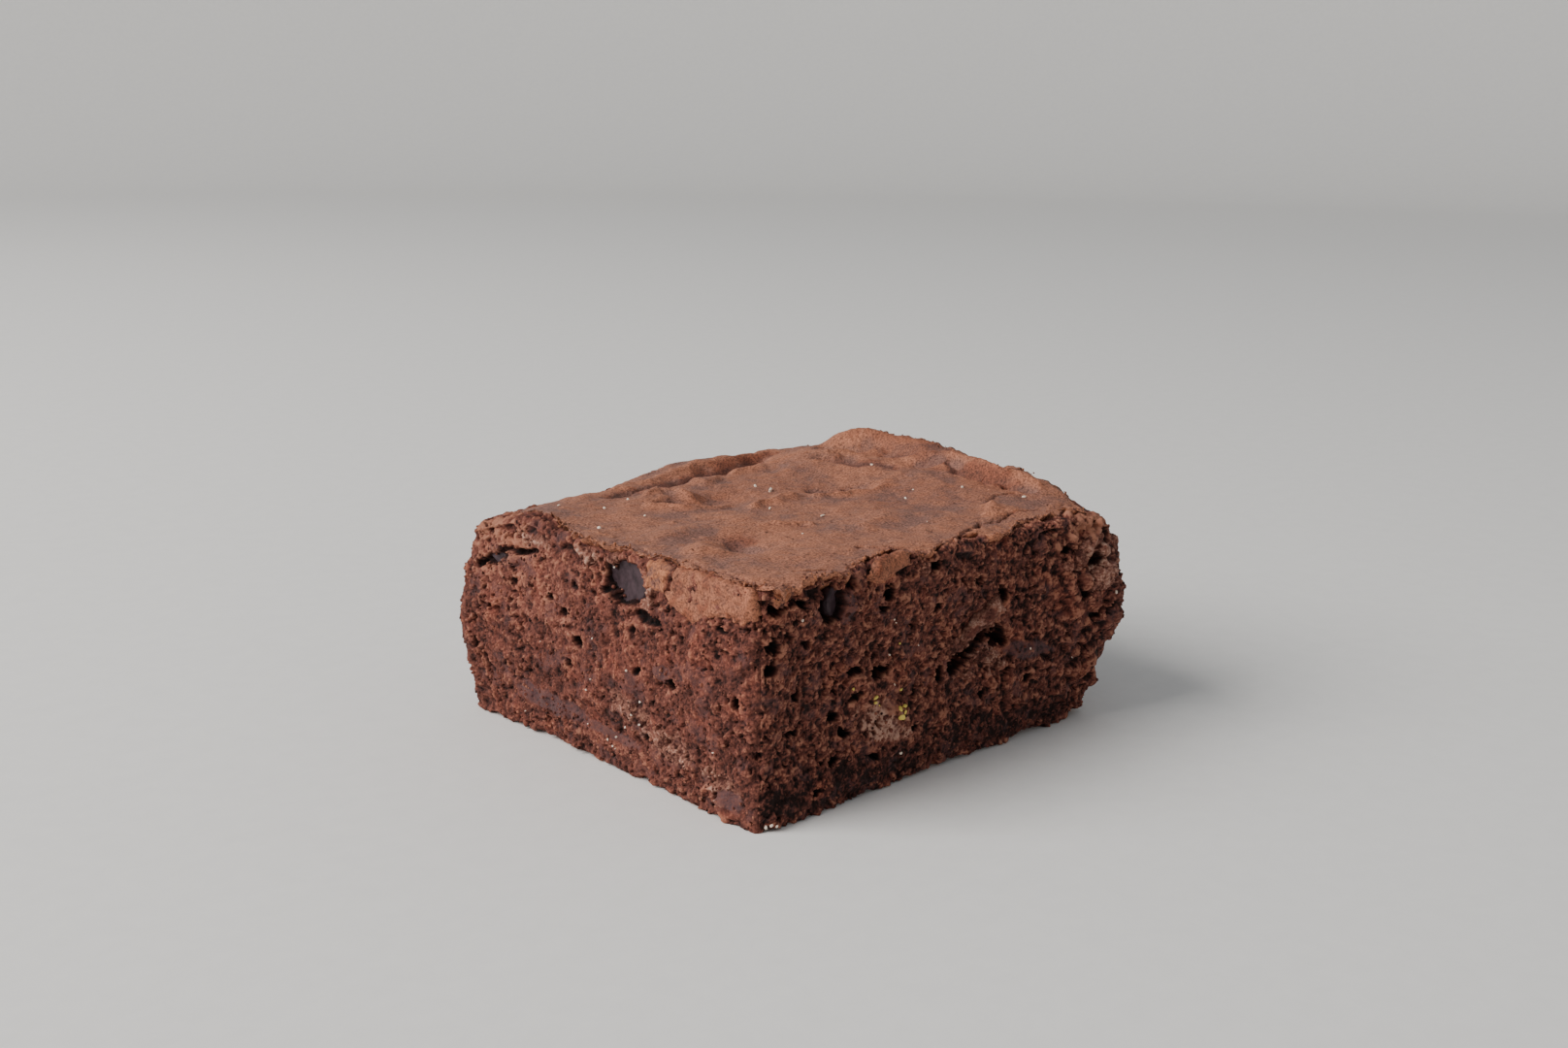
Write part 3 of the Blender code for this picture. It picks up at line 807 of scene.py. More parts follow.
def hollow_depth(points, granular):
    """Depth of the torn hollows at each point, whose borders run between the granules."""
    depth = np.zeros(len(points))
    rough = layered(points, HOLLOW_BORDERS) + 0.9 * granular
    for face, hollows in HOLLOWS.items():
        for along, height, half_length, half_height, deep, tilt in hollows:
            reach = ellipse_reach(points, face, along, height, half_length, half_height, tilt)
            reach = np.maximum(reach + rough / max(half_height, 0.9), 0.0)
            narrowed = deep * min(1.0, 0.7 + 0.25 * half_height)
            depth = np.maximum(depth, narrowed * np.clip(1.0 - reach**2, 0.0, 1.0) ** 0.85)
    return depth


# What a patch of each kind adds to the relief of the granules, as a share of it, and to their tone
PATCH_RELIEF = {"fudge": -0.85, "dense": -0.7, "clumpy": -0.4, "baked": 0.8}
# The tone that toasted and baked patches add is partly painted light
PATCH_TONE = {"toasted_and_lit": 0.35, "baked": 0.6, "dense": -0.26}
CRUMB_MASKS = ("tone", "floury", "fudge")      # the ones of these masks that the material reads
LIP_START = (0.0, 0.9)     # below the top edge, where the crumb starts to draw back under the crust
LIP_END = (3.2, 1.4)       # and where that ends


def crumb_relief(points, cover, drop, strength):
    """Push of the crumb along its outward direction, its material's masks, and the depth of its hollows."""
    grain = granule_size()
    masks = patch_masks(points)
    height, tone = granules(points, grain)
    hollow = hollow_depth(points, height)
    fudge, dense, clumpy, baked = (masks[kind] for kind in ("fudge", "dense", "clumpy", "baked"))
    lumps = layered(points, CRUMB_SWELLS)
    bulges = 1.5 * np.abs(soft_noise(points, 3.3, 24)) + 0.6 * np.abs(soft_noise(points, 1.8, 25))
    lumps += clumpy * (bulges - 0.5)
    calm = strength * (0.6 + 0.7 * ramp(-0.5, 0.6, soft_noise(points, 5.0, 17)))
    calm = calm * (1.0 + PATCH_RELIEF["fudge"] * fudge) * (1.0 + PATCH_RELIEF["dense"] * dense)
    open_walls = 1.0 - 0.3 * np.clip(hollow, 0.0, 1.0)
    calm *= open_walls * (1.0 + PATCH_RELIEF["clumpy"] * clumpy) * (1.0 + PATCH_RELIEF["baked"] * baked)
    rough = calm * (height - torn_pores(points, grain) * (1.0 - cover))
    rough += lumps + 0.15 * masks["floury"] * soft_noise(points, 0.8, 13)
    under_lip = np.maximum(soft_noise(points, 2.6, 14) + 0.1, 0.0)
    under_lip = under_lip * ramp(*LIP_END, drop) * ramp(*LIP_START, drop)
    for kind, change in PATCH_TONE.items():
        tone = tone + change * masks[kind]
    # The crumb is darker under the crust's edge: painted shadow of the overhanging crust
    masks["tone"] = tone - 0.3 * strength * under_lip
    push = rough * (1.0 - 0.6 * cover) - 0.9 * cover - strength * under_lip - hollow
    return push, {name: masks[name] for name in CRUMB_MASKS}, hollow


# The relief mask, which the materials turn into painted shade where the crumb lies lower than round about and
# painted light where it stands higher
RELIEF_REACH = 1.0     # a point's height is compared with the mean height this far around it
RELIEF_RANGE = 0.75    # difference in height that takes the relief mask from 0 to 1


def crust_cover(face, along, stage):
    """How far the crust covers a face's points, and how far they sink behind its edge, both from 0 to 1."""
    stop = crust_stop(face, along)
    behind = EDGE + (SHELF - EDGE) * (stage - 2.0) - stop
    on_shelf = np.where(stage > 2.0, ramp(-0.1, 0.7, behind), 0.0)
    on_edge = np.where((stage > 1.0) & (stage <= 2.0), ramp(0.9, 0.1, stop) * (stage - 1.0), 0.0)
    return np.maximum(on_shelf, on_edge), np.where(stage > 2.0, ramp(0.8, 3.0, behind), 0.0)


@lru_cache(maxsize=None)
def crumb_face(face):
    """One face of torn crumb: a closed slab, and the points, relief and directions out of its ragged side."""
    spacing = spaced(FINE if face in NEAR_FACES else COARSE)
    stages = crumb_rows()
    length = face_length(face)
    columns, rows = round(length / spacing), len(stages) - 1
    along, stage = np.meshgrid(np.linspace(0.0, length, columns + 1), stages)
    shape = stage.shape
    surface = face_surface(face, along, stage)
    normals = face_normals(face, along, stage)
    points, turn_in = surface.reshape(-1, 3), stage.ravel()
    cover, sunk = crust_cover(face, along, stage)
    drop = np.where(stage > 1.0, 0.0, wall_top(face, along) + EDGE - surface[..., 2])
    lively = LIVELINESS[face]
    push, masks, hollow = crumb_relief(points, cover.ravel(), drop.ravel(), math.sqrt(lively))
    push -= 1.3 * sunk.ravel()
    push *= ramp(-1.0, -0.5, turn_in) * 0.6 + 0.4
    moved = points + normals.reshape(-1, 3) * push[:, None]
    moved[:, 2] += bumps_only(points, RAGGED_FOOT) * ramp(4.5, 0.2, points[:, 2]) * ramp(-1.0, -0.3, turn_in)
    moved[:, 2] = np.maximum(moved[:, 2], 0.0)
    moved, push = moved.reshape(surface.shape), push.reshape(shape)
    # Painted shade and light: the relief mask darkens the crumb between the granules and lightens their tips
    relief = 0.5 + lively * (push - box_mean(push, round(RELIEF_REACH / spacing))) / RELIEF_RANGE
    masks["tone"] = TONE[face] + lively**2 * (masks["tone"] - 0.5)
    masks["relief"] = np.clip(relief, 0.0, 1.0)
    # The hollow mask paints shade in the torn hollows
    masks["hollow"] = np.clip(1.8 * hollow, 0.0, 1.0)
    mesh, column, row, ring = blank_sheet(columns, rows, 1)
    place = moved[row, column]
    rim = ring > 0
    place[rim] = slab_rim(face, column[rim] / columns, row[rim] / rows)
    place_vertices(mesh, place)
    store_masks(mesh, {name: mask.reshape(shape) for name, mask in masks.items()}, (row, column))
    map_sheet(mesh, columns, rows, column, row, ring)
    return mesh, moved, relief, normals


def slab_rim(face, p, q):
    """Points of the flat inner side of a face's slab."""
    half_run, reach = face_halves(face)
    run = (2.0 * p - 1.0) * (half_run - SLAB)
    xy = plan()[0] + run[:, None] * np.array(RUN[face]) + (reach - SLAB) * np.array(OUT[face])
    return np.concatenate([xy, (q * CORE_TOP)[:, None]], -1)


def crumb_core():
    """The middle of the brownie, which shows only as its flat underside."""
    middle, half = plan()
    size = 2.0 * (half - SLAB) + 2.0 * CORE_OVERLAP
    columns, rows = np.ceil(size / CORE_CELL).astype(int)
    mesh, column, row, ring = blank_sheet(columns, rows, 1)
    x = middle[0] + (0.5 - column / columns) * size[0]
    y = middle[1] + (row / rows - 0.5) * size[1]
    points = np.stack([x, y, np.zeros(len(x))], -1)
    dents = bumps_only(points, UNDERSIDE_DENTS)
    points[:, 2] = np.where(ring > 0, CORE_TOP, dents)
    place_vertices(mesh, points)
    # Painted shade in the underside's dents, through the relief mask
    store(mesh, "relief", 0.55 - dents)
    store(mesh, "tone", granules(points, 0.72)[1])
    map_sheet(mesh, columns, rows, column, row, ring)
    return mesh


# Crust


def coons(front, back, left, right, p, q):
    """Points of a patch between four border curves, given on the whole grid as arrays of points."""
    near = (1 - p) * (1 - q) * front[0, 0] + p * (1 - q) * front[0, -1]
    corners = near + (1 - p) * q * back[0, 0] + p * q * back[0, -1]
    return (1 - q) * front + q * back + (1 - p) * left + p * right - corners


def crust_border(face, share):
    """Points in plan where the crust stops, for shares of a face's length."""
    along = share * face_length(face)
    spots, way = outline(face, along)
    offset = side_offset(face, along, wall_top(face, along) - EDGE)
    return spots + way * offset[..., None] + inward(spots) * crust_stop(face, along)[..., None]


def crust_plan(columns, rows):
    """Plan points of the crust's grid, with their shares of the way across and up it."""
    p, q = np.meshgrid(np.linspace(0.0, 1.0, columns + 1), np.linspace(0.0, 1.0, rows + 1))
    across, up = p[0], q[:, 0]
    front = crust_border("front", across)[None, :, :]
    back = crust_border("back", 1.0 - across)[None, :, :]
    left = crust_border("left", 1.0 - up)[:, None, :]
    right = crust_border("right", up)[:, None, :]
    for side, row in ((front, 0), (back, -1)):
        for end, column in ((left, 0), (right, -1)):
            side[0, column] = end[row, 0] = (side[0, column] + end[row, 0]) / 2
    return coons(front, back, left, right, p[..., None], q[..., None]), p, q


# Ridges, lips and grooves of the crust: start x, y, end x, y, half width, height
CREASES = (
    (-17.0, 22.0, -6.0, 23.2, 1.3, -0.6),
    (-6.0, 23.2, 5.0, 24.2, 1.3, -0.9),
    (5.0, 24.2, 17.0, 25.8, 1.2, -0.6),
    (-22.0, 24.6, -13.0, 26.4, 1.8, 0.25),
    (-13.0, 26.4, 4.0, 28.6, 1.8, 0.45),
    (4.0, 28.6, 22.0, 28.8, 1.6, 0.5),
    (-1.6, 19.6, 1.6, 20.6, 1.6, 0.45),
    (7.5, 21.8, 12.0, 22.4, 1.6, 0.4),
    (-17.4, 12.6, -15.9, 9.4, 0.8, 0.4),
    (-15.9, 9.4, -13.2, 6.9, 0.7, 0.45),
    (-13.2, 6.9, -7.4, 6.6, 0.8, 0.35),
    (-13.6, 12.6, -10.4, 9.6, 1.5, -0.9),
    (-13.4, 17.6, -10.6, 19.4, 1.2, 0.6),
    (-10.6, 19.4, -8.8, 13.0, 1.2, 0.55),
    (-29.0, -12.5, -26.5, -9.6, 2.6, 0.7),
    (-27.6, -7.9, -23.6, -8.9, 0.8, 0.4),
    (-20.8, -9.6, -21.6, -13.6, 2.2, -0.75),
    (-24.0, -4.8, -22.0, -3.6, 1.8, -0.12),
    (-5.9, 2.7, 3.3, 4.0, 1.1, 0.45),
    (-10.6, -6.8, -8.4, -8.6, 0.7, 0.3),
    (-8.4, -8.6, -6.6, -10.6, 0.7, 0.3),
    (9.8, 4.6, 14.8, 0.8, 1.4, -0.8),
    (6.0, 2.4, 10.6, -0.4, 0.9, 0.4),
    (10.6, -0.4, 19.4, -1.0, 0.9, 0.35),
    (25.6, 19.8, 31.0, 12.8, 1.5, -0.6),
    (31.0, 12.8, 30.2, 6.2, 1.5, -0.6),
    (30.0, 22.0, 34.6, 15.0, 2.0, 0.5),
    (34.6, 15.0, 35.2, 5.0, 1.8, 0.5),
    (21.0, 16.0, 23.6, 7.6, 1.3, -0.4),
    (23.6, 7.6, 25.8, 2.8, 1.2, -0.5),
    (25.8, 2.8, 31.0, -0.8, 1.1, -0.45),
    (31.2, -2.6, 29.6, -8.0, 0.9, -0.8),
    (29.6, -8.0, 29.4, -13.0, 0.8, -1.0),
    (29.4, -13.0, 30.4, -20.0, 0.8, -0.7),
    (33.6, -2.0, 32.0, -8.0, 1.3, 0.5),
    (32.0, -8.0, 31.9, -14.0, 1.2, 0.55),
    (31.9, -14.0, 32.6, -20.0, 1.1, 0.4),
    (20.0, -20.8, 17.0, -24.6, 1.0, 0.3),
    (-2.0, -16.0, 8.0, -14.0, 1.8, 0.25),
)

# Cracks in the crust: half width, depth, then points in plan
CRACKS = (
    (0.22, 0.6, ((-26.4, -27.4), (-24.9, -28.4), (-22.6, -29.4), (-21.0, -31.6))),
    (0.45, 1.1, ((-10.6, -23.8), (-8.6, -27.4), (-7.6, -28.4), (-5.5, -31.2))),
    (0.22, 0.6, ((-33.6, -5.0), (-34.0, -9.0), (-33.8, -13.4))),
    (0.2, 0.6, ((-32.4, -29.8), (-31.4, -31.2), (-30.6, -32.4))),
    (0.25, 0.7, ((-33.4, -14.6), (-33.8, -18.0), (-33.4, -22.0), (-33.8, -25.4), (-34.4, -29.0))),
    (0.35, 0.8, ((0.2, -30.2), (3.6, -29.4), (7.2, -27.4), (10.0, -27.0), (12.4, -25.6))),
    (0.2, 0.5, ((12.4, -25.6), (15.4, -26.6), (19.6, -25.4), (23.8, -26.8))),
    (0.18, 0.4, ((20.0, -20.0), (24.0, -18.5), (28.0, -19.0))),
)

# Zones of the crust: kind, x, y, half length, half width, tilt in degrees, strength. The dark zones are
# painted shade on the rim's slopes, in grooves and dents and broadly over the right part of the top; the
# sheen zones are a painted mauve sheen
ZONES = (
    ("dark", 2.0, 24.4, 22.0, 2.4, 10.0, 1.0),
    ("dark", -19.2, -9.0, 3.0, 2.0, -20.0, 0.9),
    ("dark", 12.4, 2.6, 4.0, 1.5, -40.0, 0.9),
    ("dark", 23.6, 8.0, 8.0, 1.8, -72.0, 0.8),
    ("dark", 29.8, -11.0, 10.0, 1.7, -88.0, 1.0),
    ("dark", 33.0, 6.0, 12.0, 4.5, -80.0, 0.6),
    ("dark", 20.0, -10.0, 16.0, 9.0, -20.0, 0.22),
    ("dark", 0.0, 12.0, 18.0, 8.0, 10.0, 0.18),
    ("crumbly", 26.0, 16.4, 7.0, 3.6, 10.0, 1.0),
    ("crumbly", 31.8, 9.6, 6.0, 2.6, -80.0, 0.8),
    ("crumbly", -13.0, 15.6, 3.6, 1.3, 12.0, 0.5),
    ("crumbly", 17.0, -24.6, 7.0, 2.4, 10.0, 0.6),
    ("crumbly", 29.0, -27.2, 6.5, 2.6, 0.0, 1.0),
    ("crumbly", 2.0, -29.8, 32.0, 1.3, 5.0, 0.7),
    ("crumbly", -33.4, 10.0, 18.0, 1.1, 96.0, 0.6),
    ("crumbly", 33.0, -21.0, 2.0, 6.0, 0.0, 0.7),
    ("crumbly", -30.6, -13.6, 3.0, 2.6, 80.0, 0.4),
    ("warm", -12.5, -12.3, 7.0, 3.6, 0.0, 0.9),
    ("warm", -27.4, -10.8, 3.6, 2.6, 40.0, 1.0),
    ("warm", -29.8, 0.8, 2.4, 1.2, 30.0, 0.7),
    ("warm", 16.4, -23.4, 4.0, 2.2, 20.0, 0.8),
    ("sheen", -21.3, -4.5, 2.2, 1.5, 0.0, 1.0),
    ("sheen", -7.0, -5.2, 3.4, 1.1, 10.0, 1.0),
    ("sheen", -30.2, 22.0, 7.0, 2.6, -80.0, 0.9),
    ("sheen", -34.0, -2.3, 5.0, 1.4, 90.0, 0.8),
    ("sheen", -6.6, 11.0, 5.0, 1.0, 0.0, 0.8),
    ("sheen", 26.0, -4.0, 9.0, 3.0, -75.0, 0.8),
)

CREASE_STRENGTH = 1.7
BLISTER_HEIGHT = 0.22
BLISTER_REACH = 0.34       # as a share of the space between blisters
# Cracks are darkened with painted shade, in full from this depth
CRACK_SHADE_DEPTH = 0.5    # a crack this deep is fully dark


def zone_masks(xy):
    """How much painted shade, crumbliness, warmth and painted sheen each point of the crust has, from 0 to 1.
    """
    rough = layered(at_level(xy, 0.0), ZONE_BORDERS)
    masks = {kind: np.zeros(len(xy)) for kind in ("dark", "crumbly", "warm", "sheen")}
    for kind, x, y, half_length, half_width, tilt, strength in ZONES:
        turn = math.radians(tilt)
        gap = xy - np.array((x, y))
        across = gap @ np.array((math.cos(turn), math.sin(turn)))
        beside = gap @ np.array((-math.sin(turn), math.cos(turn)))
        reach = np.hypot(across / half_length, beside / half_width) + rough
        masks[kind] = np.maximum(masks[kind], strength * ramp(1.3, 0.4, reach))
    return masks


def segment_distance(xy, start, end):
    """Distance of plan points from a straight segment."""
    start, end = np.array(start), np.array(end)
    run = end - start
    share = np.clip(((xy - start) @ run) / (run @ run), 0.0, 1.0)
    return np.linalg.norm(xy - start - share[..., None] * run, axis=-1)


def crust_relief(xy):
    """Height of the crust's creases, cracks and blisters over the smooth top, and where it has cracked."""
    flat = at_level(xy, 0.0)
    height = layered(flat, CRUST_SWELLS)
    bent = xy + 0.9 * noise_vector(flat, 3.5, (51, 52))
    ridges, grooves = np.zeros(len(xy)), np.zeros(len(xy))
    for x0, y0, x1, y1, half, rise in CREASES:
        crease = rise * np.exp(-((segment_distance(bent, (x0, y0), (x1, y1)) / half) ** 2))
        ridges, grooves = np.maximum(ridges, crease), np.minimum(grooves, crease)
    height += CREASE_STRENGTH * (ridges + grooves)
    gap, mark = cells(flat, 3.4, 56)
    height += BLISTER_HEIGHT * ramp(BLISTER_REACH, 0.0, gap) * (mark > 0.7)
    height += 0.045 * soft_noise(flat, 0.6, 57)
    jagged = xy + 0.25 * noise_vector(flat, 1.1, (58, 59))
    cracked = np.zeros(len(xy))
    for half, depth, line in CRACKS:
        for ends in zip(line, line[1:]):
            crack = depth * ramp(1.5 * half, 0.5 * half, segment_distance(jagged, *ends))
            cracked = np.maximum(cracked, crack)
    return height - cracked, np.clip(cracked / CRACK_SHADE_DEPTH, 0.0, 1.0)


# Rings down the crust's broken edge and in under it: distance in from the edge, and depth as a share of the
# crust's thickness. The last ring lies inside the brownie, at a level of its own.
RING_INSETS = (0.0, 0.12, 0.5, 5.0)
RING_DEPTHS = (0.0, 0.35, 1.0, 0.0)
CRUST_INSIDE = 27.0
CRUST_LIFT = 0.3           # height of the crust over the block's top
FAR_EDGE = (0.75, 0.95)    # share of the way to the back over which the edge turns down like the back one


def fold_edge(place, ring):
    """Points of the crust's sheet with those of its rings moved down and in from its edge."""
    thickness = bpy.context.scene.brownie_crust.thickness / MM
    inner_way = plan()[0] - place[:, :2]
    inner_way /= np.maximum(np.abs(inner_way).max(-1, keepdims=True), 1e-6)
    torn = 0.3 * soft_noise(place, 0.8, 92) * (ring > 0)
    place[:, :2] += inner_way * (np.array(RING_INSETS)[ring] + torn * (ring < 3))[:, None]
    fallen = place[:, 2] - thickness * np.array(RING_DEPTHS)[ring] + 0.5 * torn * (ring == 2)
    place[:, 2] = np.where(ring == 3, CRUST_INSIDE, fallen)
    return place


@lru_cache(maxsize=None)
def crust_sheet():
    """The crust's mesh and the points of its surface: a sheet over the top with a thin, broken edge."""
    spacing = spaced(CRUST_CELL)
    half = plan()[1]
    columns, rows = round(2 * half[0] / spacing), round(2 * half[1] / spacing)
    xy, p, q = crust_plan(columns, rows)
    edge = np.minimum(np.minimum(p, 1 - p) * 2 * half[0], np.minimum(q, 1 - q) * 2 * half[1])
    spots, shape = xy.reshape(-1, 2), edge.shape
    masks = {kind: mask.reshape(shape) for kind, mask in zone_masks(spots).items()}
    crumbs, tone = (values.reshape(shape) for values in granules(at_level(spots, 4.0), 1.1 * granule_size()))
    relief, cracked = (values.reshape(shape) for values in crust_relief(spots))
    relief = relief + 0.9 * masks["crumbly"] * crumbs
    frayed = soft_noise(at_level(spots, 9.0), 0.9, 91).reshape(shape)
    curled = ramp(-0.35, 0.35, soft_noise(at_level(spots, 9.0), 4.0, 67)).reshape(shape)
    far = ramp(*FAR_EDGE, q)
    z = top_height(xy) + CRUST_LIFT + relief * ramp(-0.5, 3.0, edge)
    z += frayed * 0.22 * (1.0 - far) * ramp(2.2, 0.0, edge)
    z += (0.25 - 0.65 * np.maximum(curled, far)) * ramp(1.5, 0.0, edge) ** 2
    surface = np.concatenate([xy, z[..., None]], -1)
    mesh, column, row, ring = blank_sheet(columns, rows, 3)
    place_vertices(mesh, fold_edge(surface[row, column], ring))
    # The relief mask paints shade in the crust's hollows and light on its rises, and the sheen zones lower it
    # to a painted mauve sheen
    lift = 0.5 + (relief - box_mean(relief, round(4.0 / spacing))) / 0.8
    lift += 0.45 * masks["warm"] - 0.5 * masks["sheen"] + 0.5 * masks["crumbly"] * (tone - 0.5)
    brim = np.maximum(ramp(0.8, 0.0, edge), 0.75 * masks["crumbly"])
    store(mesh, "relief", np.clip(lift, 0.0, 1.0)[row, column])
    store(mesh, "brim", np.where(ring > 0, 1.0, brim[row, column]))
    # The dark mask: painted shade of the dark zones and of the cracks
    store(mesh, "dark", np.maximum(masks["dark"], cracked)[row, column])
    map_sheet(mesh, columns, rows, column, row, ring)
    return mesh, surface


# Flakes of crust and crumb: finish, face, spacing, thickness, how crumbly they are, lift at the upper and
# lower border, then the borders as places along the face and drops below its top edge
FLAKES = {
    "crust_flake_left": (
        "whole crust", "left", 0.18, 0.5, 0.0, (0.3, 0.3),
        ((-15.2, -1.0), (-17.7, -1.6), (-22.5, -1.5), (-26.7, -1.1), (-30.7, -0.7)),
        (
            (-13.7, 4.0), (-15.2, 5.6), (-17.6, 6.2), (-19.9, 6.3), (-21.7, 5.0), (-25.2, 3.9), (-27.9, 4.3),
            (-30.5, 3.5),
        ),
    ),
    "crust_flake_small": (
        "broken crust", "left", 0.2, 0.5, 0.3, (0.15, 0.2),
        ((-9.0, -0.6), (-11.0, -0.9), (-15.0, -1.3)),
        ((-9.0, 3.6), (-11.4, 4.1), (-13.5, 3.6)),
    ),
    "crust_tongue": (
        "broken crust", "front", 0.2, 0.6, 0.3, (0.3, 0.4),
        ((-34.4, -2.0), (-32.0, -2.4), (-29.6, -2.0)),
        ((-34.2, 1.2), (-33.0, 2.2), (-31.8, 2.5), (-30.6, 1.6), (-29.8, 0.7)),
    ),
    "crumb_flap": (
        "crumb", "front", 0.2, 1.0, 1.0, (1.0, 1.0),
        ((2.6, 13.6), (4.6, 11.4), (7.6, 9.6), (10.0, 8.0)),
        ((3.4, 15.0), (5.4, 13.4), (8.2, 11.8), (11.2, 10.6)),
    ),
    "crust_slab": (
        "whole crust", "front", 0.2, 0.5, 0.0, (0.75, 0.35),
        ((-17.4, 0.7), (-14.4, -0.9), (-11.0, -1.9), (-8.2, -2.2)),
        ((-17.2, 1.6), (-14.6, 2.2), (-11.8, 1.3), (-8.4, 0.6)),
    ),
}


def flake_border(face, border, share):
    """Places along a face and drops below its top edge, for shares of the way along a flake's border."""
    places = np.array([float(along_face(face, place)) for place, _ in border])
    drops = np.array([drop for _, drop in border])
    along = np.interp(share, np.linspace(0.0, 1.0, len(border)), places)
    order = np.argsort(places)
    return along, np.interp(along, places[order], drops[order])


def flake_grid(face, spacing, upper, lower):
    """A flake's places along a face, drops, shares of the way up, distances from its rim, and its width."""
    length = abs(float(along_face(face, upper[-1][0]) - along_face(face, upper[0][0])))
    columns = max(8, round(length / spacing))
    rows = max(8, round(max(drop for _, drop in lower) / spacing) + 4)
    p, q = np.meshgrid(np.linspace(0.0, 1.0, columns + 1), np.linspace(0.0, 1.0, rows + 1))
    low_along, low_drop = flake_border(face, lower, p[0])
    high_along, high_drop = flake_border(face, upper, p[0])
    along = low_along * (1 - q) + high_along * q
    drop = low_drop * (1 - q) + high_drop * q
    width = low_drop - high_drop
    rim = np.minimum(np.minimum(p, 1 - p) * length, np.minimum(q, 1 - q) * width)
    return along, drop, q, rim, float(np.mean(width))


def flake_sheet(masks_read, face, spacing, thickness, crumbly, lifts, upper, lower):
    """A broken piece of crust or crumb that lies against a face, as a thin closed sheet."""
    along, drop, q, rim, width = flake_grid(face, spacing, upper, lower)
    shape = along.shape
    tear = np.stack([along.ravel(), drop.ravel(), np.full(along.size, 5.0)], -1)
    wobble = layered(tear, FLAKE_BORDERS).reshape(shape) * ramp(1.6, 0.0, rim) * min(1.0, width / 4.0)
    along, drop = along + wobble, drop + wobble * 0.8
    stage = stage_of_drop(face, along, drop)
    points = face_surface(face, along, stage)
    normals = face_normals(face, along, stage)
    flat = points.reshape(-1, 3)
    crumbs, tone = (values.reshape(shape) for values in granules(flat, granule_size()))
    patchy = crumbly * ramp(0.8 - crumbly, 1.1 - crumbly, soft_noise(flat, 2.2, 99)).reshape(shape)
    torn = np.clip(ramp(min(1.1, 0.3 * width), 0.05, rim) + 0.4 * wobble + 1.5 * patchy, 0.0, 1.0)
    bumps = layered(flat, FLAKE_BUMPS).reshape(shape) + crumbs * (0.45 + 0.55 * torn)
    lift = lifts[1] * (1 - q) + lifts[0] * q + bumps - 0.3 * ramp(0.8, 0.0, rim)
    surface = points + normals * lift[..., None]
    mesh, column, row, side = thin_sheet(shape[1] - 1, shape[0] - 1)
    under = (side * thickness * (1.0 + 0.3 * soft_noise(surface[row, column], 1.0, 98)))[:, None]
    place_vertices(mesh, surface[row, column] - normals[row, column] * under)
    # The relief mask paints shade in the flake's hollows and light on its rises
    masks = {
        "relief": np.clip(0.5 + (lift - box_mean(lift, round(1.6 / spacing))) / 0.7, 0.0, 1.0),
        "tone": tone,
        "torn": torn,
        "floury": 0.85 * torn,
        "brim": 0.8 + 0.2 * torn,
        "dark": 0.5 + 0.5 * ramp(0.1, 0.5, soft_noise(flat, 1.9, 100)).reshape(shape),
    }
    store_masks(mesh, {name: masks[name] for name in masks_read}, (row, column))
    return mesh


# Small pieces


LUMP_SUBDIVISIONS = 5
GRAIN_SUNK = 0.2       # height of a grain's middle over what it rests on, as a share of its size


def nugget_shape(subdivisions):
    """Vertices and faces of a small round lump one unit across."""
    bm = bmesh.new()
    bmesh.ops.create_icosphere(bm, subdivisions=subdivisions, radius=0.5)
    bm.verts.index_update()
    points = np.array([vert.co for vert in bm.verts])
    faces = np.array([[vert.index for vert in face.verts] for face in bm.faces])
    bm.free()
    return points, faces


def mixed_sizes(rng, count, least, extra):
    """Random sizes, of which most are close to the least."""
    return least + extra * rng.random(count) ** 2


def scatter_mesh(spots, sizes, rng, subdivisions=1, uneven=0.3, flat=0.0):
    """Many small uneven lumps, turned at random and joined as one mesh, and how many vertices each has."""
    points, faces = nugget_shape(subdivisions)
    count = len(spots)
    turns = np.array([Euler(rng.uniform(0.0, 2.0 * math.pi, 3)).to_matrix() for _ in range(count)])
    stretch = 1.0 + uneven * rng.uniform(-1.0, 1.0, (count, 1, 3))
    stretch[:, :, 2] *= 1.0 - flat
    dents = 1.0 + uneven * rng.uniform(-0.6, 0.6, (count, len(points), 1))
    shaped = points[None] * stretch * dents * sizes[:, None, None]
    placed = np.einsum("nij,nkj->nki", turns, shaped) + spots[:, None, :]
    joined = (faces[None] + (np.arange(count) * len(points))[:, None, None]).reshape(-1, 3)
    mesh = bpy.data.meshes.new("scatter")
    mesh.from_pydata((placed.reshape(-1, 3) * MM).tolist(), [], joined.tolist())
    return mesh, len(points)


# Chips of chocolate that melted in the hollows: face, place along it, height, depth of the middle, half
# length, half height, half depth, tilt in degrees, and depth of the dish in it as a share of its half depth
MELTED = {
    "melted_chip_left": ("left", -4.2, 27.6, 1.9, 5.6, 3.9, 1.5, 10.0, 0.85),
    "melted_chip_slit": ("left", 25.3, 25.1, 1.7, 4.4, 1.3, 1.1, -20.0, 0.3),
    "melted_chip_front": ("front", -20.4, 27.4, 2.3, 2.7, 2.9, 1.5, 10.0, 0.6),
}


def face_spot(face, along, height, depth):
    """A point below a face, and the directions along and out of the face there."""
    at = along_face(face, along)
    spot, way = outline(face, at)
    spot = spot + way * (side_offset(face, at, np.array(height)) - depth)
    return np.array((*spot, height)), np.array((*RUN[face], 0.0)), np.array((*way, 0.0))


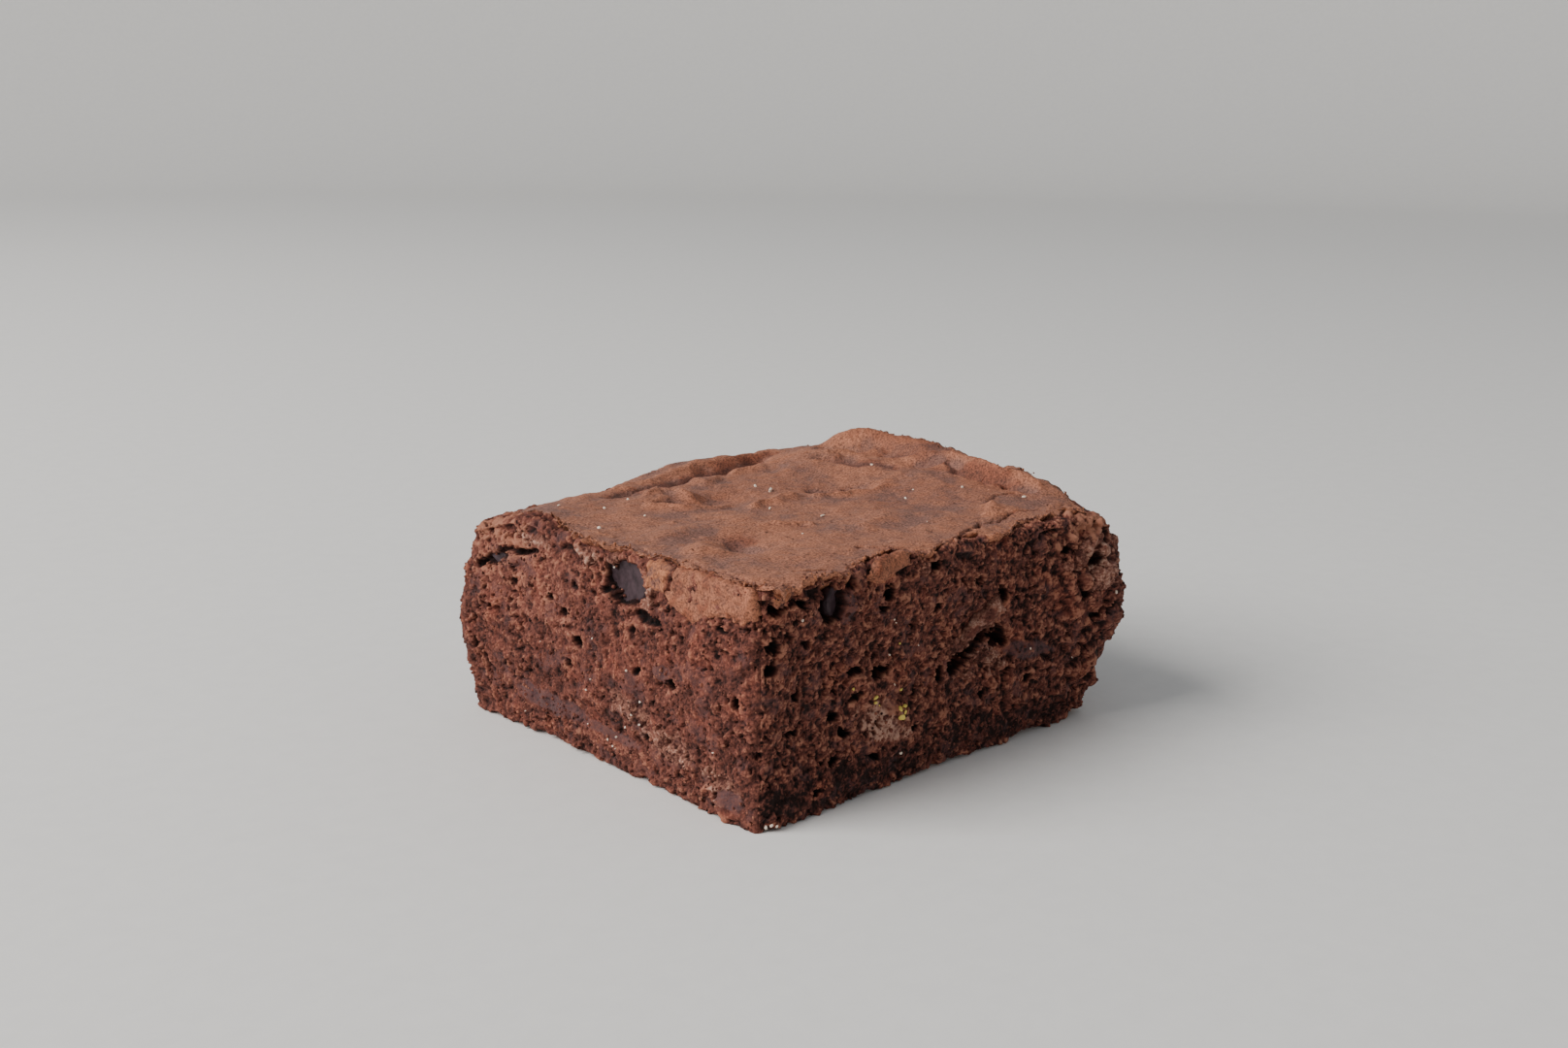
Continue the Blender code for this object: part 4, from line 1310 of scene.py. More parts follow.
def lump(face, along, height, depth, half_length, half_height, half_depth, tilt, dish=0.0):
    """Points and faces of a smooth, slightly uneven lump set below a face, and the directions out of it."""
    points, faces = nugget_shape(LUMP_SUBDIVISIONS)
    points = points * 2.0
    dents = layered(points + along, LUMP_DENTS)
    points *= 1.0 + dents[:, None] + 0.012 * soft_noise(points + along, 0.11, 103)[:, None]
    points[:, 2] = np.sign(points[:, 2]) * np.abs(points[:, 2]) ** 0.7
    points[:, 2] -= dish * np.clip(1.0 - (points[:, 0] ** 2 + points[:, 1] ** 2) / 0.8, 0.0, 1.0)
    points *= (half_length, half_height, half_depth)
    across, upward = turned(points[:, 0], points[:, 1], -tilt)
    spot, run, out = face_spot(face, along, height, depth)
    offset = across[:, None] * run + upward[:, None] * np.array((0.0, 0.0, 1.0)) + points[:, 2:] * out
    return spot + offset, faces, offset / np.linalg.norm(offset, axis=-1, keepdims=True)


def joined_mesh(points, faces, masks=()):
    """A mesh from points in millimetres, faces and named numbers for each point."""
    mesh = bpy.data.meshes.new("joined")
    mesh.from_pydata((points * MM).tolist(), [], faces.tolist())
    for name, values in masks:
        store(mesh, name, values)
    bm = bmesh.new()
    bm.from_mesh(mesh)
    bmesh.ops.recalc_face_normals(bm, faces=bm.faces)
    bm.to_mesh(mesh)
    bm.free()
    return mesh


# Lumps of crumb that stand out of the faces: as for the melted chocolate, then how floury they are
LUMPS = (
    ("front", 8.0, 14.6, 0.5, 1.6, 1.0, 1.2, 20.0, 0.5),
    ("front", 9.6, 13.3, 0.4, 1.1, 0.8, 1.0, 0.0, 0.35),
    ("front", 9.7, 18.9, 0.7, 0.8, 0.7, 0.8, 0.0, 0.5),
    ("front", 4.6, 12.3, 0.2, 1.2, 0.7, 0.9, 10.0, 0.4),
    ("front", 1.7, 17.1, 0.4, 1.8, 1.2, 1.2, -20.0, 0.25),
    ("front", 24.7, 24.8, 0.5, 1.4, 1.1, 1.1, 10.0, 0.35),
    ("front", 30.8, 22.4, 0.4, 3.2, 1.7, 1.6, 8.0, 0.8),
    ("front", 29.6, 28.0, 0.5, 2.8, 1.1, 1.4, 12.0, 0.6),
    ("front", 34.0, 26.0, 0.5, 1.4, 1.9, 1.4, 0.0, 0.7),
    ("front", 26.8, 25.6, 0.4, 1.3, 1.6, 1.3, 0.0, 0.6),
    ("front", 34.6, 20.4, 0.5, 1.3, 1.1, 1.1, 0.0, 0.4),
    ("front", 34.8, 15.8, 0.5, 1.2, 1.0, 1.1, 0.0, 0.3),
    ("front", 35.4, 23.0, 0.7, 1.0, 1.2, 1.1, 0.0, 0.3),
    ("front", 33.6, 12.4, 0.4, 1.3, 0.9, 1.1, 20.0, 0.1),
    ("front", -5.6, 29.6, 0.7, 1.3, 0.9, 1.2, 10.0, 0.3),
    ("front", -8.6, 12.0, 0.5, 1.0, 0.8, 0.9, 0.0, 0.2),
    ("left", -7.0, 11.2, 0.4, 1.3, 0.9, 0.9, 10.0, 0.9),
    ("left", -12.6, 7.2, 0.4, 1.5, 0.8, 0.9, 15.0, 0.8),
    ("left", -1.9, 30.4, 0.4, 1.2, 0.8, 0.9, 0.0, 0.8),
    ("left", -10.4, 27.0, 0.3, 0.7, 1.2, 0.8, 0.0, 0.7),
)


def crumb_lumps():
    """Rough lumps of crumb, joined as one mesh."""
    spots, joined, masks = [], [], []
    for number, (*place, flour) in enumerate(LUMPS):
        points, faces, ways = lump(*place)
        height, tone = granules(points, granule_size())
        spots.append(points + ways * height[:, None])
        joined.append(faces + number * len(points))
        # The relief mask paints shade between the lump's granules and light on their tips
        masks.append((np.clip(0.5 + height / 0.7, 0.0, 1.0), tone, np.full(len(points), flour)))
    named = zip(("relief", "tone", "floury"), np.concatenate(masks, -1))
    return joined_mesh(np.concatenate(spots), np.concatenate(joined), named)


# Sugar grains on the top: x, y and size
SUGAR_ON_TOP = (
    (-17.6, 17.8, 0.45), (-28.3, 20.6, 0.4), (-22.9, 16.9, 0.4), (-22.4, 8.1, 0.35), (-31.0, 7.5, 0.5),
    (2.6, 11.7, 0.55), (2.4, 8.1, 0.8), (-5.1, 0.0, 0.6), (-1.8, -7.5, 0.6), (22.7, 6.2, 0.6),
    (15.0, -8.5, 0.5), (23.7, -12.1, 0.45), (27.9, -21.1, 0.5), (15.8, -26.5, 0.4), (19.1, -6.4, 0.35),
    (-12.0, -14.0, 0.3), (6.0, -21.0, 0.3),
)

# Sugar grains on the faces: face, place along it, height and size
SUGAR_ON_FACES = (
    ("left", 3.0, 10.4, 0.5), ("left", 1.4, 12.9, 0.4), ("left", -6.6, 16.2, 0.45),
    ("left", 0.9, 18.4, 0.35), ("left", -8.7, 11.7, 0.5), ("left", -8.2, 8.5, 0.55),
    ("left", -7.4, 9.4, 0.4), ("left", -0.9, 4.4, 0.45), ("left", -1.8, 3.7, 0.6),
    ("left", -3.3, 5.0, 0.5), ("left", -2.4, 3.2, 0.4), ("left", 3.3, 5.8, 0.4),
    ("left", -23.7, 8.8, 0.5), ("left", 18.5, 2.8, 0.4), ("left", -5.0, 6.9, 0.4),
    ("left", -1.6, 29.2, 0.5), ("left", -10.2, 28.4, 0.45), ("left", 13.0, 15.0, 0.3),
    ("front", -10.8, 22.9, 0.4), ("front", -11.5, 23.3, 0.4), ("front", -11.7, 18.9, 0.45),
    ("front", -11.1, 14.5, 0.5), ("front", -29.0, 26.9, 0.55), ("front", 15.9, 13.8, 0.45),
    ("front", -9.5, 3.9, 0.5), ("front", 33.1, 19.6, 0.7), ("front", -34.4, 1.0, 0.8),
    ("front", -33.8, 0.9, 0.9), ("front", -33.2, 0.9, 0.6), ("front", -6.0, 18.9, 0.3),
    ("front", 26.0, 11.0, 0.3), ("right", 10.0, 18.0, 0.5), ("right", -14.0, 9.0, 0.4),
    ("back", 6.0, 15.0, 0.45), ("back", -16.0, 8.0, 0.5),
)

# Golden flecks: face, place along it, height and size
FLECKS = (
    ("front", -17.7, 15.2, 0.5), ("front", -13.9, 13.4, 0.6), ("front", -13.8, 12.7, 0.5),
    ("front", -9.8, 10.9, 0.7), ("front", -9.1, 11.1, 0.5), ("front", -9.6, 9.3, 0.75),
    ("front", -9.0, 9.7, 0.5), ("front", -10.4, 20.2, 0.45), ("front", -8.8, 13.1, 0.45),
    ("front", -13.3, 12.2, 0.3),
)


def resting_spot(face, along, height):
    """The torn crumb's point that stands out furthest by a spot on a face, and the direction out there."""
    _, surface, _, normals = crumb_face(face)
    run = 1 if face in END_FACES else 0
    flat, ways = surface.reshape(-1, 3), normals.reshape(-1, 3)
    gap = np.hypot(flat[:, run] - along, flat[:, 2] - height)
    near = np.flatnonzero(gap < max(0.45, gap.min() + 0.05))
    best = near[np.argmax((flat[near] * ways[near]).sum(-1))]
    return flat[best], ways[best]


def grains_on_faces(places):
    """Middles of grains that lie on the torn crumb of the faces."""
    middles = []
    for face, along, height, size in places:
        spot, way = resting_spot(face, along, height)
        middles.append(spot + GRAIN_SUNK * size * way)
    return middles


def grains_on_top(places):
    """Middles of grains that lie on the crust."""
    flat = crust_sheet()[1].reshape(-1, 3)
    middles = []
    for x, y, size in places:
        nearest = np.argmin(np.hypot(flat[:, 0] - x, flat[:, 1] - y))
        middles.append(flat[nearest] + (0.0, 0.0, GRAIN_SUNK * size))
    return middles


# Materials


# Colours that others are multiplied by, and the speckle of the crust as places on a ramp and such colours
REDDER = (1.0, 0.72, 0.66, 1.0)
# Painted shade in the crumb's hollows
HOLLOW_PAINTED_SHADE = (0.14, 0.1, 0.1, 1.0)
# Painted shade on the crust's grooves, cracks and rim slopes, and a random darker mottle on its flakes
CRUST_SHADE = (0.62, 0.5, 0.47, 1.0)
CRUST_SPECKLE = (
    (0.34, (0.38, 0.34, 0.33, 1.0)), (0.5, (0.95, 0.94, 0.93, 1.0)), (0.64, (1.4, 1.36, 1.33, 1.0)),
)

# The Mix node's sockets when it mixes colours
MIX_FACTOR = 0
MIX_FIRST = 6
MIX_SECOND = 7
MIX_RESULT = 2


def connect(tree, value, socket):
    """Link an output to an input, or set the input to a plain value."""
    if isinstance(value, bpy.types.NodeSocket):
        tree.links.new(value, socket)
    else:
        socket.default_value = value


def add(tree, kind, sockets=None, **settings):
    """Add a shader node, set its settings, and set or link its inputs."""
    node = tree.nodes.new(kind)
    for key, value in settings.items():
        setattr(node, key, value)
    for key, value in (sockets or {}).items():
        connect(tree, value, node.inputs[key])
    return node


def blend_colour(tree, factor, first, second, blend="MIX"):
    """Mix two colours."""
    sockets = {MIX_FACTOR: factor, MIX_FIRST: first, MIX_SECOND: second}
    node = add(tree, "ShaderNodeMix", sockets, data_type="RGBA", blend_type=blend, clamp_factor=True)
    return node.outputs[MIX_RESULT]


def maths(tree, operation, first, second, clamp=False):
    """Combine two numbers."""
    return add(tree, "ShaderNodeMath", {0: first, 1: second}, operation=operation, use_clamp=clamp).outputs[0]


def times(tree, first, second, clamp=False):
    """Multiply two numbers."""
    return maths(tree, "MULTIPLY", first, second, clamp)


def added(tree, first, *others):
    """Add up several numbers."""
    for other in others:
        first = maths(tree, "ADD", first, other)
    return first


def spread(tree, value, amount):
    """Centre a mask on 0 and scale it."""
    return times(tree, maths(tree, "SUBTRACT", value, 0.5), amount)


def ramp_colours(tree, factor, stops):
    """Colours along a ramp, given as places and colours."""
    node = add(tree, "ShaderNodeValToRGB", {"Fac": factor})
    elements = node.color_ramp.elements
    while len(elements) < len(stops):
        elements.new(0.5)
    for element, (place, colour) in zip(elements, stops):
        element.position = place
        element.color = colour
    return node.outputs["Color"]


def new_group(name, inputs, outputs):
    """Start a node group with named inputs and outputs, each given as its kind of socket and its default."""
    group = bpy.data.node_groups.new(name, "ShaderNodeTree")
    for socket, (kind, value) in inputs.items():
        item = group.interface.new_socket(socket, in_out="INPUT", socket_type=kind)
        if value is not None:
            item.default_value = value
    for socket in outputs:
        group.interface.new_socket(socket, in_out="OUTPUT", socket_type="NodeSocketFloat")
    return group, group.nodes.new("NodeGroupInput").outputs, group.nodes.new("NodeGroupOutput").inputs


@lru_cache(maxsize=None)
def grain_group():
    """Baked grain: broad patches and a fine mottle, both from 0 to 1, and the height of a fine crumb."""
    inputs = {
        "Vector": ("NodeSocketVector", None),
        "Patch": ("NodeSocketFloat", 0.006),
        "Grain": ("NodeSocketFloat", 0.0005),
    }
    group, given, made = new_group("baked_grain", inputs, ("Patches", "Mottle", "Height"))
    vector = given["Vector"]
    patch_scale = maths(group, "DIVIDE", 1.0, given["Patch"])
    grain_scale = maths(group, "DIVIDE", 1.0, given["Grain"])
    patches = add(group, "ShaderNodeTexNoise", {"Vector": vector, "Scale": patch_scale, "Detail": 3.0})
    mottled = {"Vector": vector, "Scale": grain_scale, "Detail": 3.0, "Roughness": 0.65}
    mottle = add(group, "ShaderNodeTexNoise", mottled)
    fine = add(group, "ShaderNodeTexVoronoi", {"Vector": vector, "Scale": times(group, grain_scale, 2.3)})
    height = maths(group, "SUBTRACT", mottle.outputs["Fac"], times(group, fine.outputs["Distance"], 0.4))
    connect(group, patches.outputs["Fac"], made["Patches"])
    connect(group, mottle.outputs["Fac"], made["Mottle"])
    connect(group, height, made["Height"])
    return group


def place_grain(tree, patch, size):
    """Place the baked grain in a material, on object coordinates, and return its outputs."""
    coords = add(tree, "ShaderNodeTexCoord").outputs["Object"]
    sockets = {"Vector": coords, "Patch": patch, "Grain": size}
    return add(tree, "ShaderNodeGroup", sockets, node_tree=grain_group()).outputs


def start_material(name):
    """A new material with its node tree."""
    material = bpy.data.materials.new(name)
    material.use_nodes = True
    return material, material.node_tree


def finish_shader(tree, colour, roughness, shine, height, bumpiness, depth):
    """Give a material's shader its colour, roughness and shine, and bumps from a height."""
    bump = add(tree, "ShaderNodeBump", {"Height": height, "Strength": bumpiness, "Distance": depth})
    shader = tree.nodes["Principled BSDF"].inputs
    connect(tree, colour, shader["Base Color"])
    connect(tree, roughness, shader["Roughness"])
    connect(tree, shine, shader["Specular IOR Level"])
    connect(tree, bump.outputs["Normal"], shader["Normal"])


def attribute(tree, name):
    """The value that a mesh keeps under a name."""
    return add(tree, "ShaderNodeAttribute", attribute_name=name).outputs["Fac"]


@lru_cache(maxsize=None)
def crumb_material():
    """Torn crumb: red brown granules, near black between them as painted shade and orange brown on their tips
    as painted light, darker in the hollows as painted shade.
    """
    settings = bpy.context.scene.brownie_crumb
    material, tree = start_material("torn_crumb")
    baked = place_grain(tree, 0.0045, 0.00036)
    level = added(
        tree,
        times(tree, attribute(tree, "relief"), 0.5),
        times(tree, attribute(tree, "tone"), 0.42),
        spread(tree, baked["Mottle"], 0.9),
        spread(tree, baked["Patches"], 0.8),
    )
    # The ramp paints shade between the granules at its low end and light on their tips at its high end
    stops = ((0.1, settings.deep), (0.36, settings.body), (0.62, settings.granule), (0.9, settings.lit_tip))
    shade = ramp_colours(tree, level, stops)
    red = times(tree, spread(tree, baked["Patches"], 2.5), 1.0, True)
    shade = blend_colour(tree, red, shade, REDDER, "MULTIPLY")
    stops = ((0.25, settings.body), (0.55, settings.floury), (0.85, settings.flour))
    scattered = times(tree, attribute(tree, "floury"), times(tree, baked["Mottle"], 1.7), True)
    shade = blend_colour(tree, scattered, shade, ramp_colours(tree, level, stops))
    stops = ((0.0, settings.deep), (0.3, settings.fudge), (1.0, settings.granule))
    shade = blend_colour(tree, attribute(tree, "fudge"), shade, ramp_colours(tree, level, stops))
    # Painted shade in the hollows
    shade = blend_colour(tree, attribute(tree, "hollow"), shade, HOLLOW_PAINTED_SHADE, "MULTIPLY")
    roughness = maths(tree, "SUBTRACT", 0.82, times(tree, attribute(tree, "fudge"), 0.35))
    finish_shader(tree, shade, roughness, 0.22, baked["Height"], 0.6, 0.00025)
    return material


@lru_cache(maxsize=None)
def crust_material():
    """Matt baked crust: milk-chocolate brown with orange rises, partly painted light, mauve hollows of
    painted shade and a paler broken edge.
    """
    settings = bpy.context.scene.brownie_crust
    material, tree = start_material("baked_crust")
    baked = place_grain(tree, 0.0022, 0.0003)
    broad = place_grain(tree, 0.009, 0.0012)
    level = added(
        tree,
        attribute(tree, "relief"),
        spread(tree, baked["Patches"], 1.0),
        spread(tree, broad["Patches"], 2.2),
        spread(tree, broad["Mottle"], 0.8),
    )
    # Mauve at the low end is painted shade in the hollows and the painted sheen; orange at the high end is
    # partly painted light on the rises
    stops = ((0.1, settings.mauve), (0.5, settings.body), (0.95, settings.raised))
    shade = ramp_colours(tree, level, stops)
    edge = times(tree, attribute(tree, "brim"), baked["Mottle"], True)
    shade = blend_colour(tree, edge, shade, settings.edge)
    shade = blend_colour(tree, 1.0, shade, ramp_colours(tree, baked["Mottle"], CRUST_SPECKLE), "MULTIPLY")
    # Painted shade of the dark zones and cracks; on the flakes a random darker mottle
    shade = blend_colour(tree, attribute(tree, "dark"), shade, CRUST_SHADE, "MULTIPLY")
    finish_shader(tree, shade, 0.68, 0.28, baked["Height"], 0.5, 0.00015)
    return material


@lru_cache(maxsize=None)
def flake_material():
    """Thin tan flakes of broken crust, with raw crumb where they are torn, and painted shade in their hollows
    and painted light on their rises.
    """
    crust, crumb = bpy.context.scene.brownie_crust, bpy.context.scene.brownie_crumb
    material, tree = start_material("broken_crust")
    baked = place_grain(tree, 0.0026, 0.0004)
    level = added(
        tree,
        attribute(tree, "relief"),
        spread(tree, baked["Mottle"], 1.3),
        spread(tree, baked["Patches"], 1.1),
    )
    # The ramp paints shade at its low end and light at its high end
    stops = ((0.1, crumb.body), (0.4, crust.mauve), (0.65, crust.flake), (0.95, crust.edge))
    tan = ramp_colours(tree, level, stops)
    tan = blend_colour(tree, 0.6, tan, ramp_colours(tree, baked["Mottle"], CRUST_SPECKLE), "MULTIPLY")
    # The raw crumb's ramp likewise paints shade between the granules and light on their tips
    stops = ((0.1, crumb.deep), (0.4, crumb.body), (0.7, crumb.granule), (0.95, crumb.lit_tip))
    raw = ramp_colours(tree, level, stops)
    shade = blend_colour(tree, times(tree, attribute(tree, "torn"), 0.8), tan, raw)
    finish_shader(tree, shade, 0.8, 0.15, baked["Height"], 0.6, 0.0002)
    return material


# Finishes of the flakes: material slot, material, and the masks that it reads
FLAKE_FINISHES = {
    "whole crust": ("crust", crust_material, ("relief", "brim", "dark")),
    "broken crust": ("crust", flake_material, ("relief", "torn")),
    "crumb": ("crumb", crumb_material, ("relief", "tone", "floury")),
}


def plain_finish(name, colour, roughness, patch, size, dark, bumpiness, shine=0.5):
    """A finish of one colour with baked grain in its tone and surface."""
    material, tree = start_material(name)
    baked = place_grain(tree, patch, size)
    stops = ((0.3, (dark, dark, dark, 1.0)), (0.65, (1.0, 1.0, 1.0, 1.0)))
    shade = blend_colour(tree, 1.0, colour, ramp_colours(tree, baked["Mottle"], stops), "MULTIPLY")
    finish_shader(tree, shade, roughness, shine, baked["Height"], bumpiness, 0.0001)
    return material


# Properties


def length_property(name, description, default):
    """A small length that a user can change."""
    return FloatProperty(
        name=name, description=description, default=default, min=0.0, unit="LENGTH", precision=5
    )


def colour_property(name, description, default):
    """A colour that a user can change."""
    return FloatVectorProperty(
        name=name, description=description, default=(*default, 1.0), size=4, min=0.0, max=1.0, subtype="COLOR"
    )


class BrownieCrumb(bpy.types.PropertyGroup):
    """Granules and colours of the crumb and of the chocolate in it"""

    grain: length_property("Granule", "Size of the granules of torn crumb", 0.0006)
    # Painted shade: the colour between the granules, at the low end of the relief mask
    deep: colour_property("Crevices", "Colour between the granules", (0.014, 0.005, 0.004))
    body: colour_property("Body", "Colour of the shaded crumb", (0.088, 0.027, 0.02))
    granule: colour_property("Granules", "Colour of the granules", (0.185, 0.059, 0.041))
    # Painted light: the colour of the granules' tips, at the high end of the relief mask
    lit_tip: colour_property("Tips", "Colour of the lightest tips", (0.37, 0.158, 0.1))
    floury: colour_property("Floury crumb", "Colour of the floury patches", (0.28, 0.124, 0.086))
    flour: colour_property("Flour", "Palest colour of the floury patches", (0.51, 0.305, 0.23))
    chocolate: colour_property("Melted chocolate", "Colour of the melted chips", (0.066, 0.04, 0.048))
    fudge: colour_property("Fudge", "Colour of the dense fudgy patches", (0.076, 0.034, 0.036))


class BrownieCrust(bpy.types.PropertyGroup):
    """Thickness and colours of the crust and its flakes"""

    thickness: length_property("Thickness", "Thickness of the crust's broken edge", 0.0008)
    body: colour_property("Body", "Colour of the crust", (0.325, 0.137, 0.087))
    # Painted shade in the crust's hollows, and its painted sheen
    mauve: colour_property("Hollows", "Colour of the crust's hollows", (0.235, 0.114, 0.087))
    # Partly painted light on the crust's rises
    raised: colour_property("Rises", "Colour of the crust's rises", (0.39, 0.155, 0.09))
    edge: colour_property("Edge", "Colour of the crust's broken edge", (0.42, 0.165, 0.086))
    flake: colour_property("Flakes", "Colour of the broken flakes", (0.32, 0.124, 0.066))


class BrownieSmall(bpy.types.PropertyGroup):
    """Colours of the small grains"""

    sugar: colour_property("Sugar", "Colour of the sugar grains", (1.0, 0.83, 0.68))
    gold: colour_property("Flecks", "Colour of the golden flecks", (0.85, 0.66, 0.14))


class BrownieStage(bpy.types.PropertyGroup):
    """Floor and lights"""

    floor: colour_property("Floor", "Colour of the floor", (0.9, 0.885, 0.86))
    key: FloatProperty(
        name="Window light", description="Power of the large soft light", default=28.0, min=0.0, unit="POWER"
    )
    fill: FloatProperty(
        name="Room light", description="Strength of the light from all round", default=0.3, min=0.0
    )


# Pieces


class BROWNIE_OT_crumb(bpy.types.Operator):
    """Make the torn crumb of the four cut faces and the underside"""

    bl_idname = "brownie.crumb"
    bl_label = "Torn crumb"

    def execute(self, context):
        for face in FACES:
            finish_piece(crumb_face(face)[0], f"crumb_{face}", crumb_material())
        finish_piece(crumb_core(), "crumb_core", crumb_material())
        return {"FINISHED"}


class BROWNIE_OT_crust(bpy.types.Operator):
    """Make the baked crust"""

    bl_idname = "brownie.crust"
    bl_label = "Crust"

    def execute(self, context):
        finish_piece(crust_sheet()[0], "crust", crust_material())
        return {"FINISHED"}


class BROWNIE_OT_flakes(bpy.types.Operator):
    """Make the flakes of crust that have broken and bent over the edges"""

    bl_idname = "brownie.flakes"
    bl_label = "Crust flakes"

    def execute(self, context):
        for name, (finish, *flake) in FLAKES.items():
            slot, material, masks_read = FLAKE_FINISHES[finish]
            finish_piece(flake_sheet(masks_read, *flake), name, material())
        return {"FINISHED"}


class BROWNIE_OT_melted_chocolate(bpy.types.Operator):
    """Make the chocolate that melted in the hollows"""

    bl_idname = "brownie.melted_chocolate"
    bl_label = "Melted chocolate"

    def execute(self, context):
        colour = context.scene.brownie_crumb.chocolate
        finish = plain_finish("melted_chocolate", colour, 0.5, 0.002, 0.0013, 0.4, 0.5, 0.2)
        for name, chip in MELTED.items():
            points, faces, _ = lump(*chip)
            finish_piece(joined_mesh(points, faces), name, finish)
        return {"FINISHED"}


# Loose granules: piece, faces, how many lie on each face, and the stage up to which they lie
LOOSE_GRANULES = (
    ("granules_near", ("left", "front"), 2000, 1.5),
    ("granules_far", ("right", "back"), 1200, 0.93),
)
GRANULE_FLOOR = 0.8        # height from which they lie
STANDING_OUT = 0.45        # relief of the crumb from which they lie


def loose_granules(rng, face, count, highest):
    """Middles, sizes and tones of granules that lie at random on the parts of a face that stand out."""
    _, surface, relief, normals = crumb_face(face)
    flat = surface.reshape(-1, 3)
    on_face = np.repeat(crumb_rows() < highest, surface.shape[1])
    free = np.flatnonzero((relief.ravel() > STANDING_OUT) & (flat[:, 2] > GRANULE_FLOOR) & on_face)
    chosen = rng.choice(free, count, replace=False)
    size = mixed_sizes(rng, count, 0.22, 0.4)
    lift = size * rng.uniform(-0.25, 0.12, count)
    spots = flat[chosen] + normals.reshape(-1, 3)[chosen] * lift[:, None]
    return spots, size, rng.uniform(0.2, 0.9, count)


class BROWNIE_OT_granules(bpy.types.Operator):
    """Scatter loose granules over the torn crumb"""

    bl_idname = "brownie.granules"
    bl_label = "Loose granules"

    def execute(self, context):
        rng = np.random.default_rng(7)
        for name, faces, count, highest in LOOSE_GRANULES:
            groups = [loose_granules(rng, face, count, highest) for face in faces]
            spots, sizes, tones = (np.concatenate(group) for group in zip(*groups))
            mesh, corners = scatter_mesh(spots, sizes, rng)
            for mask in ("relief", "tone"):
                store(mesh, mask, np.repeat(tones, corners))
            finish_piece(mesh, name, crumb_material())
        return {"FINISHED"}


CRUST_CRUMB_BAND = 0.9     # width of the strip along the crust's edge in which its crumbs lie
CRUST_CRUMB_STRAY = 0.25   # how far they stray from the crust's points
CRUST_CRUMB_LIFT = 0.05    # and how far they are raised


class BROWNIE_OT_crust_crumbs(bpy.types.Operator):
    """Scatter crumbs of crust along its broken edge"""

    bl_idname = "brownie.crust_crumbs"
    bl_label = "Crust crumbs"

    def execute(self, context):
        rng = np.random.default_rng(11)
        surface = crust_sheet()[1]
        reach = round(CRUST_CRUMB_BAND / CRUST_CELL)
        front, left, right = surface[:reach], surface[: -len(surface) // 4, :reach], surface[:, -reach:]
        bands = ((front, 240), (left, 100), (right, 40))
        spots = np.concatenate([rng.permutation(band.reshape(-1, 3))[:count] for band, count in bands])
        sizes = mixed_sizes(rng, len(spots), 0.25, 0.35)
        stray = rng.uniform(-CRUST_CRUMB_STRAY, CRUST_CRUMB_STRAY, spots.shape)
        spots = spots + stray + np.array((0.0, 0.0, CRUST_CRUMB_LIFT))
        mesh, corners = scatter_mesh(spots, sizes, rng, uneven=0.4, flat=0.4)
        store(mesh, "relief", np.repeat(rng.uniform(0.2, 0.8, len(spots)), corners))
        finish_piece(mesh, "crust_crumbs", flake_material(), smooth=False)
        return {"FINISHED"}


class BROWNIE_OT_lumps(bpy.types.Operator):
    """Make the lumps of crumb that stand out of the faces"""

    bl_idname = "brownie.lumps"
    bl_label = "Crumb lumps"

    def execute(self, context):
        finish_piece(crumb_lumps(), "crumb_lumps", crumb_material())
        return {"FINISHED"}


SMALL_ON_FACES = 0.7       # the grains on the faces show less of themselves than those on top


class BROWNIE_OT_sugar(bpy.types.Operator):
    """Set the sugar grains on the crust and on the faces"""

    bl_idname = "brownie.sugar"
    bl_label = "Sugar grains"

    def execute(self, context):
        rng = np.random.default_rng(5)
        spots = grains_on_top(SUGAR_ON_TOP) + grains_on_faces(SUGAR_ON_FACES)
        sizes = [size for *_, size in SUGAR_ON_TOP] + [SMALL_ON_FACES * size for *_, size in SUGAR_ON_FACES]
        mesh, _ = scatter_mesh(np.array(spots), np.array(sizes), rng, uneven=0.45)
        finish = plain_finish("sugar", context.scene.brownie_small.sugar, 0.35, 0.001, 0.0003, 0.85, 0.3)
        finish_piece(mesh, "sugar_grains", finish, smooth=False)
        return {"FINISHED"}


class BROWNIE_OT_flecks(bpy.types.Operator):
    """Set the golden flecks on the front"""

    bl_idname = "brownie.flecks"
    bl_label = "Golden flecks"

    def execute(self, context):
        rng = np.random.default_rng(3)
        sizes = np.array([size for *_, size in FLECKS])
        spots = np.array(grains_on_faces(FLECKS))
        mesh, _ = scatter_mesh(spots, sizes, rng, subdivisions=2, uneven=0.4, flat=0.35)
        colour = context.scene.brownie_small.gold
        finish = plain_finish("golden_fleck", colour, 0.6, 0.001, 0.0003, 0.85, 0.5)
        finish_piece(mesh, "golden_flecks", finish)
        return {"FINISHED"}


class BROWNIE_OT_stage(bpy.types.Operator):
    """Make the round studio floor, the lights and the camera"""

    bl_idname = "brownie.stage"
    bl_label = "Stage"

    def execute(self, context):
        make_floor(context)
        make_lights(context)
        make_camera(context)
        return {"FINISHED"}


# The round floor, in metres
FLOOR_RADIUS = 1.4
FLOOR_MIDDLE = 0.3     # radius of its first ring
SWEEP = 0.35           # radius of the curve up into the wall
WALL = 0.3             # height of the wall above it
FLOOR_STEPS = 96


